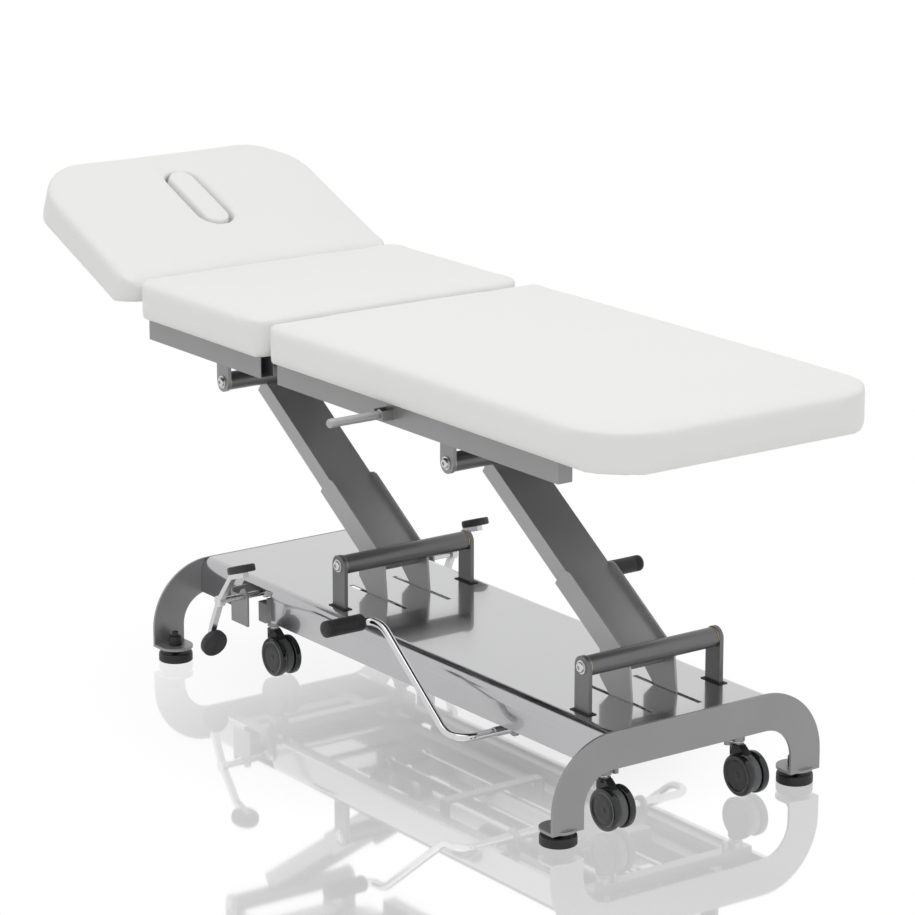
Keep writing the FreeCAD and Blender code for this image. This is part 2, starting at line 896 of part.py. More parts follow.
def cover_slots():
    """Slots of the arm levers and of the arm brackets: limits along X and along Y."""
    lever_middle = size.arm_half_width + size.cradle_sheet / 2
    lever_half = size.lever_slot_width / 2
    bracket_reach = size.lower_bracket_half_width + size.bracket_slot_margin
    levers = []
    brackets = []
    for pivot_x in (size.foot_pivot_x, size.head_pivot_x):
        levers.append((
            (pivot_x - size.lever_slot_rear, pivot_x + size.lever_slot_front),
            (lever_middle - lever_half, lever_middle + lever_half),
        ))
        brackets.append((
            (pivot_x - bracket_reach, pivot_x + bracket_reach),
            (bracket_inner - size.bracket_slot_margin, bracket_outer + size.bracket_slot_margin),
        ))
    return levers, brackets


def base_cover():
    """Folded sheet over the rails, with its slots and the side windows of the pedals."""
    half, top, bottom, sheet = size.cover_half_width, size.arch_top, size.cover_bottom, size.cover_sheet
    inner, inner_top, lip_top = half - sheet, top - sheet, bottom + sheet
    inner_bend = size.cover_bend - sheet
    outline = [
        (-half, bottom),
        (-half, top, size.cover_bend),
        (half, top, size.cover_bend),
        (half, bottom),
        (half - size.cover_lip, bottom),
        (half - size.cover_lip, lip_top),
        (inner, lip_top),
        (inner, inner_top, inner_bend),
        (-inner, inner_top, inner_bend),
        (-inner, lip_top),
        (-half + size.cover_lip, lip_top),
        (-half + size.cover_lip, bottom),
    ]
    reach = arch_inside - size.end_gap
    body = prism("YZ_Plane", outline, -reach, reach)
    levers, brackets = cover_slots()
    for (low_x, high_x), (low_y, high_y) in levers + brackets:
        for side in TABLE_SIDES.values():
            near_y, far_y = span(side, low_y, high_y)
            slot = [(low_x, near_y), (high_x, near_y), (high_x, far_y), (low_x, far_y)]
            pocket(body, "XY_Plane", slot, inner_top, top)
    window = [
        (size.side_window_head, bottom),
        (size.side_window_foot, bottom),
        (size.side_window_foot, size.side_window_top),
        (size.side_window_head, size.side_window_top),
    ]
    for side in TABLE_SIDES.values():
        pocket(body, "XZ_Plane", window, *span(side, half - size.cover_lip, half))
    return body


def slot_edging():
    """Rubber edging in the cover's bracket slots."""
    wall = size.trim_wall
    low, high = rail_top, size.arch_top + size.trim_rise
    rims = []
    for (low_x, high_x), (low_y, high_y) in cover_slots()[1]:
        lining = box((low_x, high_x), (low_y, high_y), (low, high))
        flange = box((low_x - wall, high_x + wall), (low_y - wall, high_y + wall), (size.arch_top, high))
        opening = box((low_x + wall, high_x - wall), (low_y + wall, high_y - wall), (low, high))
        rims.append(cut(fuse(lining, flange), opening))
    return both_sides(group(*rims))


def pivot_bracket(x, z_pivot, z_end, half_width, inner):
    """Plate with one round end about a pivot, and a square end on a rail."""
    low, high = (z_end, z_pivot) if z_end.value < z_pivot.value else (z_pivot, z_end)
    plate = [(x - half_width, low), (x + half_width, low), (x + half_width, high), (x - half_width, high)]
    body = prism("XZ_Plane", plate, inner, inner + size.bracket_sheet)
    pad(body, "XZ_Plane", None, inner, inner + size.bracket_sheet, [(x, z_pivot, half_width)])
    hole = [(x, z_pivot, size.pivot_bolt_radius)]
    pocket(body, "XZ_Plane", None, inner, inner + size.bracket_sheet, hole)
    return body


def lower_brackets():
    plates = [
        pivot_bracket(x, size.lower_pivot_height, rail_bottom, size.lower_bracket_half_width, bracket_inner)
        for x in (size.foot_pivot_x, size.head_pivot_x)
    ]
    return both_sides(group(*plates))


def pivot_bolt(x, z, plate_outer):
    """Shouldered bolt with a domed socket head and a washer."""
    start = plate_outer - size.pivot_bolt_length
    shank = size.pivot_bolt_length + size.washer_height
    end = shank + size.bolt_head_height
    profile = [
        (0, 0),
        (size.pivot_bolt_radius, 0),
        (size.pivot_bolt_radius, shank),
        (size.bolt_head_radius, shank),
        (size.bolt_head_radius, end, size.bolt_dome),
        (0, end),
    ]
    bolt = turned("Y", (x, start, z), profile)
    socket = hex_bar("Y", (x, start + end - size.socket_depth, z), size.socket_radius, size.socket_depth)
    washer = ring("Y", (x, plate_outer, z), size.washer_radius, size.pivot_bolt_radius, size.washer_height)
    return group(cut(bolt, socket), washer)


def pivot_bolts(pivots, plate_outer):
    return both_sides(group(*[pivot_bolt(x, z, plate_outer) for x, z in pivots]))


def cylinder_barrel():
    """Lift cylinder with a closed rear end and a gland at the front."""
    length = size.barrel_front_x - size.barrel_rear_x
    axis_start = (size.barrel_rear_x, 0, size.barrel_height)
    outside = rod("X", axis_start, size.barrel_radius, length)
    bore_start = (size.barrel_rear_x + size.barrel_cap, 0, size.barrel_height)
    bore = rod("X", bore_start, size.barrel_bore, length - 2 * size.barrel_cap)
    gland = rod("X", bore_start, size.ram_radius + size.running_gap, length - size.barrel_cap)
    return cut(outside, bore, gland)


def pump_block():
    """Hand pump body under the front saddle, with the plunger's bore."""
    half = size.pump_block_half
    outline = [
        (-half, size.pump_block_bottom, size.pump_block_edge),
        (half, size.pump_block_bottom, size.pump_block_edge),
        (half, saddle_bottom),
        (-half, saddle_bottom),
    ]
    body = prism("YZ_Plane", outline, size.pump_block_x, size.pump_block_x + size.pump_block_length)
    bore = [(0, size.plunger_height, size.plunger_radius + size.running_gap)]
    pocket(body, "YZ_Plane", None, size.pump_block_x, size.pump_block_x + size.plunger_bore_depth, bore)
    return body


def pump_bearings():
    """Plates on the rails that carry the pump axle."""
    x, half = size.pump_axle_x, size.pump_bearing_half
    top = rail_top - size.pump_bearing_drop
    plate = [
        (x - half, size.pump_axle_height),
        (x + half, size.pump_axle_height),
        (x + half, top),
        (x - half, top),
    ]
    low, high = rail_outer, rail_outer + size.pump_bearing_sheet
    body = prism("XZ_Plane", plate, low, high)
    pad(body, "XZ_Plane", None, low, high, [(x, size.pump_axle_height, half)])
    bore = size.pump_axle_radius + size.running_gap
    pocket(body, "XZ_Plane", None, low, high, [(x, size.pump_axle_height, bore)])
    return both_sides(body)


def pedal_brackets():
    """Angle pieces through the cover's windows that hold the ends of the pedal axle."""
    x, half = size.rocker_x, size.rocker_bracket_half
    rear = -size.rocker_bracket_rear
    sheet = size.rocker_bracket_sheet
    low, high = size.rocker_bracket_plane, size.rocker_bracket_plane + sheet
    plate = [
        (rear, size.rocker_bracket_bottom),
        (x + half, size.rocker_bracket_bottom),
        (x + half, size.rocker_height),
        (rear, size.rocker_height),
    ]
    body = prism("XZ_Plane", plate, low, high)
    pad(body, "XZ_Plane", None, low, high, [(x, size.rocker_height, half)])
    web = [(rear, size.rocker_web_bottom), (rear + sheet, size.rocker_web_bottom),
           (rear + sheet, size.rocker_web_top), (rear, size.rocker_web_top)]
    pad(body, "XZ_Plane", web, rail_outer, high)
    bore = size.rocker_axle_radius + size.running_gap
    pocket(body, "XZ_Plane", None, low, high, [(x, size.rocker_height, bore)])
    return both_sides(body)


def leveller(end, side):
    """Threaded foot: round pad, neck and stem."""
    profile = [
        (0, 0),
        (size.foot_pad_radius, 0, size.foot_pad_edge),
        (size.foot_pad_radius, size.foot_pad_height, size.foot_pad_edge),
        (size.foot_neck_radius, size.foot_pad_height),
        (size.foot_neck_radius, size.foot_pad_height + size.foot_neck_height),
        (size.foot_stem_radius, size.foot_pad_height + size.foot_neck_height),
        (size.foot_stem_radius, size.foot_stem_top),
        (0, size.foot_stem_top),
    ]
    return turned("Z", (end * size.foot_offset, side * foot_y, 0), profile)


def lock_nuts():
    """Round lock nuts on top of the foot tabs."""
    bottom = size.arch_leg_bottom + size.arch_plate
    bore = size.foot_stem_radius + size.running_gap
    profile = [
        (bore, 0),
        (size.foot_nut_radius, 0, size.foot_nut_edge),
        (size.foot_nut_radius, size.foot_nut_height, size.foot_nut_edge),
        (bore, size.foot_nut_height),
    ]
    nuts = [
        turned("Z", (end * size.foot_offset, side * foot_y, bottom), profile)
        for end in TABLE_ENDS.values()
        for side in TABLE_SIDES.values()
    ]
    return group(*nuts)


# Casters, their carriage and the pedals.


def carriage_frame():
    """Ladder of four bars that carries the casters, with their sockets."""
    bar_top = size.carriage_bar_bottom + size.carriage_bar_height
    half = size.carriage_cross_width / 2
    long_x = (size.caster_head_x - half, size.caster_foot_x + half)
    long_bar = hollow_tube("X", long_x, (size.carriage_bar_inner, carriage_outer),
                           (size.carriage_bar_bottom, bar_top))
    block_top = size.rocker_height - size.cam_roller_radius - size.cam_gap
    block = box((cam_x - size.lift_block_half, cam_x + size.lift_block_half),
                (size.carriage_bar_inner, carriage_outer), (bar_top, block_top))
    pieces = [both_sides(fuse(long_bar, block))]
    guide_bore = size.guide_radius + size.running_gap
    stem_bore = size.caster_stem_radius + size.running_gap
    collar_height = cross_bottom - size.socket_collar_bottom
    socket_depth = size.caster_stem_top - size.socket_collar_bottom + size.end_gap
    for x in (size.caster_foot_x, size.caster_head_x):
        bar = box((x - half, x + half), (-carriage_outer, carriage_outer),
                  (cross_bottom, size.carriage_bar_bottom))
        tools = []
        collars = []
        for side in TABLE_SIDES.values():
            seat = (x, side * size.caster_offset, size.socket_collar_bottom)
            collars.append(rod("Z", seat, size.socket_collar_radius, collar_height))
            tools.append(rod("Z", seat, stem_bore, socket_depth))
            tools.append(rod("Z", (x, side * size.guide_offset, cross_bottom), guide_bore,
                             size.carriage_bar_height))
        pieces.append(cut(fuse(bar, *collars), *tools))
    return fuse(*pieces)


def caster_fork(x, y):
    """Caster body between its two wheels, with boss, stem and wheel axle."""
    axle_x = x + size.caster_trail
    axle_z = size.caster_radius + size.caster_floor_gap
    web = size.caster_web_half
    boss = size.caster_boss_radius
    neck = [
        (x - boss, size.caster_boss_bottom),
        (axle_x - size.caster_web_radius, axle_z),
        (axle_x, axle_z),
        (axle_x + boss, size.caster_boss_bottom),
        (x + boss, size.caster_boss_top),
        (x - boss, size.caster_boss_top),
    ]
    body = prism("XZ_Plane", neck, y - web, y + web)
    pad(body, "XZ_Plane", None, y - web, y + web, [(axle_x, axle_z, size.caster_web_radius)])
    hub_bottom = axle_z + size.caster_radius + size.caster_hood_gap
    hub = rod("Z", (x, y, hub_bottom), boss, size.caster_boss_top - hub_bottom)
    stem = rod("Z", (x, y, size.caster_boss_top), size.caster_stem_radius,
               size.caster_stem_top - size.caster_boss_top)
    axle_half = size.caster_face - size.caster_hood_gap
    axle = rod("Y", (axle_x, y - axle_half, axle_z), size.caster_axle_radius, 2 * axle_half)
    return fuse(body, hub, stem, axle)


def caster_wheels(x, y):
    """Pair of wheels on one axle, dished on the outside."""
    bore = size.caster_axle_radius + size.running_gap
    inner = size.caster_face - size.caster_tread
    dish_radius = size.caster_radius - size.caster_rim
    profile = [
        (bore, 0),
        (size.caster_radius, 0, size.tread_edge),
        (size.caster_radius, size.caster_tread, size.tread_edge),
        (dish_radius, size.caster_tread),
        (dish_radius, size.caster_tread - size.tread_dish),
        (bore, size.caster_tread - size.tread_dish),
    ]
    axle_z = size.caster_radius + size.caster_floor_gap
    wheels = []
    for axis, side in (("Y", 1), ("-Y", -1)):
        wheels.append(turned(axis, (x + size.caster_trail, y + side * inner, axle_z), profile))
    return group(*wheels)


def pedal_axle():
    """Axle of the pedals, with the two cams that press the carriage down."""
    half = size.rocker_plane + size.rocker_bar_depth / 2
    shaft = rod("Y", (size.rocker_x, -half, size.rocker_height), size.rocker_axle_radius, 2 * half)
    low, high = size.cam_inner, size.cam_inner + size.cam_sheet
    rise = size.cam_arm_half_height
    arm = box((size.rocker_x, cam_x), (low, high), (size.rocker_height - rise, size.rocker_height + rise))
    hub = rod("Y", (size.rocker_x, low, size.rocker_height), size.cam_hub_radius, size.cam_sheet)
    roller = rod("Y", (cam_x, low, size.rocker_height), size.cam_roller_radius, size.cam_sheet)
    return fuse(shaft, both_sides(fuse(arm, hub, roller)))


def pedal_seat(pedal, reach):
    """Point of the lever's middle line under a pad, at a reach along the pad's face."""
    across, rise, lean = pedal
    depth = (size.pedal_height + size.rocker_bar_width) / 2
    x = size.rocker_x + across - depth * sine(lean) + reach * cosine(lean)
    z = size.rocker_height + rise - depth * cosine(lean) - reach * sine(lean)
    return x, z


def pedal_lever():
    """Curved flat bar from the high pedal through the axle to the low pedal."""
    x, z = size.rocker_x, size.rocker_height
    path = [
        pedal_seat(high_pedal, size.rocker_seat_reach),
        (*pedal_seat(high_pedal, -size.rocker_neck_reach), size.rocker_neck_bend),
        (x, z, size.rocker_bend),
        (*pedal_seat(low_pedal, -size.rocker_heel_reach), size.rocker_heel_bend),
        pedal_seat(low_pedal, size.rocker_seat_reach),
    ]
    half_width, half_depth = size.rocker_bar_width / 2, size.rocker_bar_depth / 2

    def flat_profile(sketch):
        draw_outline(sketch, [
            (-half_depth, -half_width),
            (half_depth, -half_width),
            (half_depth, half_width),
            (-half_depth, half_width),
        ])

    bar = swept("XZ_Plane", -size.rocker_plane, path, flat_profile)
    start = (x, size.rocker_plane - half_depth, z)
    hub = rod("Y", start, size.rocker_hub_radius, size.rocker_bar_depth)
    bore = rod("Y", start, size.rocker_axle_radius, size.rocker_bar_depth)
    return both_sides(cut(fuse(bar, hub), bore))


def pedal_pad(across, rise, lean):
    """Round rubber pad on a pedal lever, leaning by an angle from the vertical."""
    profile = [
        (0, 0),
        (size.pedal_radius, 0, size.pedal_edge),
        (size.pedal_radius, size.pedal_height, size.pedal_edge),
        (0, size.pedal_height),
    ]
    back = size.pedal_height / 2
    x = size.rocker_x + across - back * sine(lean)
    z = size.rocker_height + rise - back * cosine(lean)
    pad_body = turned("Z", (x, size.rocker_plane, z), profile)
    pad_body.Placement.Rotation = FreeCAD.Rotation(FreeCAD.Vector(0, 1, 0), as_size(lean).value)
    bind(pad_body, "Placement.Rotation.Angle", lean)
    return pad_body


def pedal_pads():
    return both_sides(group(pedal_pad(*high_pedal), pedal_pad(*low_pedal)))


# Pump lever.


def pump_axle():
    """Cross tube of the pump lever with the crank that works the plunger."""
    x, z = size.pump_axle_x, size.pump_axle_height
    tube = ring("Y", (x, -size.pump_axle_half, z), size.pump_axle_radius, size.lever_rod_radius,
                2 * size.pump_axle_half)
    half, web = size.crank_half_width, size.crank_web_half_width
    low = z - size.crank_radius
    body = prism("XZ_Plane", [(x - web, low), (x + web, low), (x + web, z), (x - web, z)], -half, half)
    pad(body, "XZ_Plane", None, -half, half, [(x, low, size.crank_tip_radius)])
    pad(body, "XZ_Plane", None, -half, half, [(x, z, size.crank_boss_radius)])
    bore = rod("Y", (x, -half, z), size.lever_rod_radius, 2 * half)
    return fuse(tube, cut(body, bore))


def pump_lever():
    """Bent rod from the axle up to the hand grip, on the near side."""
    x, z = size.pump_axle_x, size.pump_axle_height
    radius, plane = size.lever_rod_radius, size.lever_plane
    insert_end = size.pump_axle_half - size.lever_rod_insert
    elbow_y = plane - size.axle_bend
    path = [
        (x - size.axle_bend, z),
        (size.lever_low_bend_x, z, size.lever_bend),
        (size.lever_high_bend_x, size.grip_height, size.lever_bend),
        (size.grip_x + size.grip_bend, size.grip_height),
    ]

    def round_profile(sketch):
        draw_circle(sketch, 0, 0, radius)

    middle = swept("XZ_Plane", plane, path, round_profile)
    shaft = rod("Y", (x, -elbow_y, z), radius, elbow_y - insert_end)
    low_elbow = quarter_bend((x - size.axle_bend, -elbow_y, z), size.axle_bend, radius, -90)
    grip_y = plane + size.grip_bend
    high_elbow = quarter_bend((size.grip_x + size.grip_bend, -grip_y, size.grip_height),
                              size.grip_bend, radius, 90)
    rod_end = size.grip_inner + size.grip_bore_depth
    handle = rod("Y", (size.grip_x, -rod_end, size.grip_height), radius, rod_end - grip_y)
    return both_sides(fuse(shaft, low_elbow, middle, high_elbow, handle))


def pump_grips():
    """Rubber grips over the ends of the pump lever."""
    profile = [
        (0, size.grip_bore_depth),
        (size.lever_rod_radius, size.grip_bore_depth),
        (size.lever_rod_radius, 0),
        (size.grip_radius, 0, size.grip_edge),
        (size.grip_radius, size.grip_length, size.grip_edge),
        (0, size.grip_length),
    ]
    return both_sides(turned("Y", (size.grip_x, size.grip_inner, size.grip_height), profile))


def pump_plunger():
    start = size.pump_axle_x + size.crank_tip_radius + size.plunger_gap
    end = size.pump_block_x + size.plunger_insert
    return rod("X", (start, 0, size.plunger_height), size.plunger_radius, end - start)


# Lift arms.


def arm_box(pivot_x):
    """Closed box beam of an arm, cut to fit its two cross tubes."""
    def beam(inset):
        low, high = inset, size.arm_length - inset
        top = -size.arm_face_drop - inset
        bottom = -size.arm_face_drop - size.arm_depth + inset
        half = size.arm_half_width - inset
        corners = [arm_point(pivot_x, *corner)
                   for corner in ((low, top), (high, top), (high, bottom), (low, bottom))]
        return prism("XZ_Plane", corners, -half, half)

    half = size.arm_half_width
    tubes = [rod("Y", (x, -half, z), size.cross_tube_radius, 2 * half) for x, z in arm_pivots(pivot_x)]
    return cut(beam(as_size(0)), beam(size.arm_wall), *tubes)


def arm_pivots(pivot_x):
    return [arm_point(pivot_x, 0, 0), arm_point(pivot_x, size.arm_length, 0)]


def arm_cradle(pivot_x):
    """Folded channel under the lower half of an arm, with its two lever plates."""
    length, depth, rise = size.cradle_length, size.cradle_depth, size.cradle_face_rise
    inner = size.arm_half_width
    outer = inner + size.cradle_sheet
    cheek = [
        arm_point(pivot_x, 0, rise),
        (*arm_point(pivot_x, length, rise), size.cradle_corner),
        arm_point(pivot_x, length, -depth),
        arm_point(pivot_x, 0, -depth),
    ]
    pin_x, pin_z = pivot_x + size.lever_pin_across, lever_pin_height
    boss_corner = size.lever_boss_radius * DIAGONAL
    lever = [
        (pivot_x + size.lever_front, size.lower_pivot_height),
        (pin_x + boss_corner, pin_z + boss_corner),
        (pin_x - boss_corner, pin_z - boss_corner),
        (pivot_x - size.lever_shoulder_across, size.lower_pivot_height - size.lever_shoulder_drop,
         size.lever_shoulder_bend),
        (pivot_x - size.lever_rear_reach, size.lower_pivot_height - size.lever_rear_drop),
        (pivot_x - size.lever_rear_reach, size.lower_pivot_height),
    ]
    floor = [
        arm_point(pivot_x, size.cross_tube_radius, -size.arm_face_drop - size.arm_depth),
        arm_point(pivot_x, length, -size.arm_face_drop - size.arm_depth),
        arm_point(pivot_x, length, -depth),
        arm_point(pivot_x, size.cross_tube_radius, -depth),
    ]
    body = new_body()
    pad(body, "XZ_Plane", floor, -outer, outer)
    tube = (pivot_x, size.lower_pivot_height, size.cross_tube_radius)
    for side in TABLE_SIDES.values():
        low, high = span(side, inner, outer)
        pad(body, "XZ_Plane", cheek, low, high)
        pad(body, "XZ_Plane", lever, low, high)
        pad(body, "XZ_Plane", None, low, high, [(pin_x, pin_z, size.lever_boss_radius)])
        pocket(body, "XZ_Plane", None, low, high, [tube])
        pocket(body, "XZ_Plane", None, low, high, [(pin_x, pin_z, size.lever_pin_radius)])
    return body


def arm_tubes(pivot_x):
    """Cross tubes at the two pivots of an arm, and the pin of its levers."""
    ends = (bracket_inner, upper_inner)
    tubes = []
    for (x, z), inner in zip(arm_pivots(pivot_x), ends):
        half = inner - size.side_gap - size.bush_flange
        tubes.append(ring("Y", (x, -half, z), size.cross_tube_radius, size.bush_radius, 2 * half))
    half = size.arm_half_width + size.cradle_sheet
    pin_x = pivot_x + size.lever_pin_across
    pin = rod("Y", (pin_x, -half, lever_pin_height), size.lever_pin_radius, 2 * half)
    return group(*tubes, pin)


def arm_bushes(pivot_x):
    """Flanged bushes in the ends of the cross tubes."""
    bushes = []
    for (x, z), inner in zip(arm_pivots(pivot_x), (bracket_inner, upper_inner)):
        face = inner - size.side_gap
        shoulder = face - size.bush_flange
        profile = [
            (bush_bore, 0),
            (size.bush_radius, 0),
            (size.bush_radius, size.bush_length),
            (size.bush_flange_radius, size.bush_length),
            (size.bush_flange_radius, size.bush_length + size.bush_flange),
            (bush_bore, size.bush_length + size.bush_flange),
        ]
        bushes.append(turned("Y", (x, shoulder - size.bush_length, z), profile))
    return both_sides(group(*bushes))


def sync_bars():
    """Two flat bars that join the levers of the two arms."""
    rear = size.head_pivot_x + size.lever_pin_across
    front = size.foot_pivot_x + size.lever_pin_across
    z, half = lever_pin_height, size.sync_bar_half_height
    low, high = size.sync_bar_inner, size.sync_bar_inner + size.sync_bar_sheet
    body = prism("XZ_Plane", [(rear, z - half), (front, z - half), (front, z + half), (rear, z + half)],
                 low, high)
    for x in (rear, front):
        pad(body, "XZ_Plane", None, low, high, [(x, z, size.lever_boss_radius)])
    bore = size.lever_pin_radius + size.running_gap
    for x in (rear, front):
        pocket(body, "XZ_Plane", None, low, high, [(x, z, bore)])
    return both_sides(body)


def lift_ram():
    """Piston and rod of the lift cylinder, with the slotted yoke of the lever pin."""
    z = size.barrel_height
    pin_x = size.foot_pivot_x + size.lever_pin_across
    yoke_rear = pin_x - size.yoke_half_length
    piston = rod("X", (size.piston_x, 0, z), size.barrel_bore - size.running_gap, size.piston_length)
    shaft = rod("X", (size.piston_x, 0, z), size.ram_radius, yoke_rear - size.piston_x)
    yoke = slotted_yoke(pin_x, (size.yoke_bottom, size.yoke_top), size.yoke_half_length,
                        (-size.yoke_half_width, size.yoke_half_width),
                        size.lever_pin_radius + size.yoke_play, (size.yoke_slot_floor, size.yoke_top))
    return fuse(piston, shaft, yoke)


def slotted_yoke(x, z_range, half_length, y_range, slot_half, slot_range):
    """Block with an upright slot in which a pin slides while the yoke moves along X."""
    block = box((x - half_length, x + half_length), y_range, z_range)
    slot = box((x - slot_half, x + slot_half), y_range, slot_range)
    return cut(block, slot)


# Lift frame.


def chassis_frame():
    """Two rails joined by flat strips."""
    rail = hollow_tube("X", (size.chassis_head_x, size.chassis_foot_x), (chassis_inner, upper_inner),
                       (size.chassis_rail_bottom, chassis_top))
    half = size.chassis_strip_width / 2
    strips = []
    for x in (size.strip_a_x, size.strip_b_x, size.strip_c_x, size.strip_d_x):
        strips.append(box((x - half, x + half), (-chassis_inner, chassis_inner),
                          (size.chassis_strip_bottom, size.chassis_strip_bottom + size.chassis_strip)))
    return fuse(both_sides(rail), *strips)


def upper_brackets():
    root_height = chassis_top - size.upper_bracket_drop
    plates = [
        pivot_bracket(arm_point(x, size.arm_length, 0)[0], upper_pivot_height, root_height,
                      size.upper_bracket_half_width, upper_inner)
        for x in (size.foot_pivot_x, size.head_pivot_x)
    ]
    return both_sides(group(*plates))


def side_tube(x_range):
    return hollow_tube("X", x_range, (side_tube_inner, size.side_tube_outer), (chassis_top, side_tube_top))


def cross_tube(x_range, z_range):
    return hollow_tube("Y", x_range, (-side_tube_inner, side_tube_inner), z_range)


def mid_frame():
    """Fixed frame under the middle cushion."""
    rear, front = size.mid_frame_head_x, size.mid_frame_foot_x
    width = size.side_tube_width
    crosses = [
        cross_tube((front - width, front), (chassis_top, low_cross_top)),
        cross_tube((size.mid_cross_x, size.mid_cross_x + size.mid_cross_width), (chassis_top, low_cross_top)),
        cross_tube((size.mid_end_cross_x, size.mid_end_cross_x + size.mid_cross_width),
                   (side_tube_top - size.low_cross_height, side_tube_top)),
    ]
    return fuse(both_sides(side_tube((rear, front))), *crosses)


def leg_frame():
    """Frame of the leg section, with hinge lugs, spring lever and handle ears."""
    rear, front = size.leg_frame_head_x, size.leg_frame_foot_x
    tubes = both_sides(closed_tube((rear, front)))
    hinge_cross = (leg_hinge_x - size.low_cross_height / 2, leg_hinge_x + size.low_cross_height / 2)
    crosses = [
        cross_tube(hinge_cross, (leg_cross_bottom, leg_cross_top)),
        cross_tube((size.leg_cross_x, size.leg_cross_x + size.side_tube_width),
                   (leg_cross_bottom, leg_cross_top)),
    ]
    half = size.lug_half_width
    lug = lug_plate(leg_hinge_x, hinge_height, leg_cross_top, (leg_hinge_x - half, leg_hinge_x + half))
    lean = size.leg_lever_lean
    pin = (leg_hinge_x - size.spring_lever * sine(lean), hinge_height - size.spring_lever * cosine(lean))
    root_x = hinge_cross[0]
    lever = spring_lever(pin, size.spring_offset,
                         [(root_x, leg_cross_top), (root_x, leg_cross_bottom)])
    return fuse(tubes, *crosses, both_sides(lug), lever, handle_ears())


def closed_tube(x_range):
    """Side tube closed by plates at its two ends."""
    wall = size.tube_wall
    low, high = x_range
    y_range, z_range = (side_tube_inner, size.side_tube_outer), (chassis_top, side_tube_top)
    outside = box(x_range, y_range, z_range)
    inside = box((low + wall, high - wall), (y_range[0] + wall, y_range[1] - wall),
                 (z_range[0] + wall, z_range[1] - wall))
    return cut(outside, inside)


def lug_plate(x, z, foot_z, foot_range):
    """Hinge lug that hangs from a hinge pin down to a frame."""
    low, high = lug_inner, lug_inner + size.lug_sheet
    plate = [(foot_range[0], foot_z), (foot_range[1], foot_z), (foot_range[1], z), (foot_range[0], z)]
    body = prism("XZ_Plane", plate, low, high)
    pad(body, "XZ_Plane", None, low, high, [(x, z, size.lug_half_width)])
    pocket(body, "XZ_Plane", None, low, high, [(x, z, size.hinge_pin_radius + size.running_gap)])
    return body


def spring_lever(pin, offset, root):
    """Pair of plates from a frame down to the pin of a gas spring.

    The root gives the two corners where the plates leave the frame.
    """
    pin_x, pin_z = pin
    reach = size.spring_pin_boss
    gap = size.spring_yoke_half_width + size.spring_side_gap
    sheet = size.spring_lever_sheet
    boss_corner = reach * DIAGONAL
    outline = [
        *root,
        (pin_x + boss_corner, pin_z - boss_corner),
        (pin_x - boss_corner, pin_z + boss_corner),
    ]
    plates = []
    for low, high in ((offset - gap - sheet, offset - gap), (offset + gap, offset + gap + sheet)):
        body = prism("XZ_Plane", outline, low, high)
        pad(body, "XZ_Plane", None, low, high, [(pin_x, pin_z, reach)])
        plates.append(body)
    half = gap + sheet
    bar = rod("Y", (pin_x, offset - half, pin_z), size.spring_pin_radius, 2 * half)
    return fuse(*plates, bar)


def handle_ears():
    """Two ears on the near side tube, with the pin of the release handle."""
    x, z = size.handle_x, size.handle_height
    half = size.handle_ear_half_height
    inner = size.handle_collar_radius + size.end_gap
    outer = inner + size.handle_ear_sheet
    end_y = -size.handle_pivot_offset - half
    ears = [
        box((x + low, x + high), (end_y, -size.side_tube_outer), (z - half, z + half))
        for low, high in ((inner, outer), (-outer, -inner))
    ]
    pin = rod("X", (x - outer, -size.handle_pivot_offset, z), size.handle_pin_radius, 2 * outer)
    return fuse(*ears, pin)


def release_handle():
    """Rod with a collar that turns on its pin when it is lifted."""
    x, z = size.handle_x, size.handle_height
    collar_half = size.handle_collar_half
    collar_end = size.handle_pivot_offset - collar_half
    shaft_length = size.handle_tip - size.handle_pivot_offset
    profile = [
        (0, 0),
        (size.handle_collar_radius, 0, size.handle_edge),
        (size.handle_collar_radius, 2 * collar_half, size.handle_edge),
        (size.handle_radius, 2 * collar_half),
        (size.handle_radius, shaft_length - size.handle_tip_length),
        (size.handle_tip_radius, shaft_length - size.handle_tip_length),
        (size.handle_tip_radius, shaft_length + collar_half, size.handle_edge),
        (0, shaft_length + collar_half),
    ]
    grip = turned("-Y", (x, -collar_end, z), profile)
    bore_half = size.handle_collar_radius
    bore = rod("X", (x - bore_half, -size.handle_pivot_offset, z),
               size.handle_pin_radius + size.running_gap, 2 * bore_half)
    return cut(grip, bore)


def hinge_straps():
    """Straps with hinge pins that carry the leg section and the head section."""
    half = size.strap_half_width
    low, high = size.strap_plane, size.strap_plane + size.strap_sheet
    foot_z = hinge_height - size.strap_drop
    pin_end = lug_inner + size.lug_sheet + size.pin_stub
    seat = size.mid_frame_foot_x - size.side_tube_width
    leg_outline = [
        (leg_hinge_x - half, hinge_height),
        (leg_hinge_x - half, foot_z + size.strap_foot, size.strap_bend),
        (seat, foot_z + size.strap_foot),
        (seat, low_cross_top),
        (size.mid_frame_foot_x, low_cross_top),
        (size.mid_frame_foot_x + size.strap_lift, foot_z),
        (leg_hinge_x + half, foot_z),
        (leg_hinge_x + half, hinge_height),
    ]
    end_x = size.mid_end_cross_x
    head_seat = side_tube_top - size.strap_head_drop
    head_outline = [
        (head_hinge_x - half, hinge_height),
        (head_hinge_x - half, side_tube_top - size.low_cross_height),
        (end_x, side_tube_top - size.low_cross_height),
        (end_x, head_seat),
        (head_hinge_x + half, head_seat, size.strap_bend),
        (head_hinge_x + half, hinge_height),
    ]
    straps = []
    for x, outline in ((leg_hinge_x, leg_outline), (head_hinge_x, head_outline)):
        body = prism("XZ_Plane", outline, low, high)
        pad(body, "XZ_Plane", None, low, high, [(x, hinge_height, half)])
        pin = rod("Y", (x, low, hinge_height), size.hinge_pin_radius, pin_end - low)
        straps.append(fuse(body, pin))
    return both_sides(group(*straps))


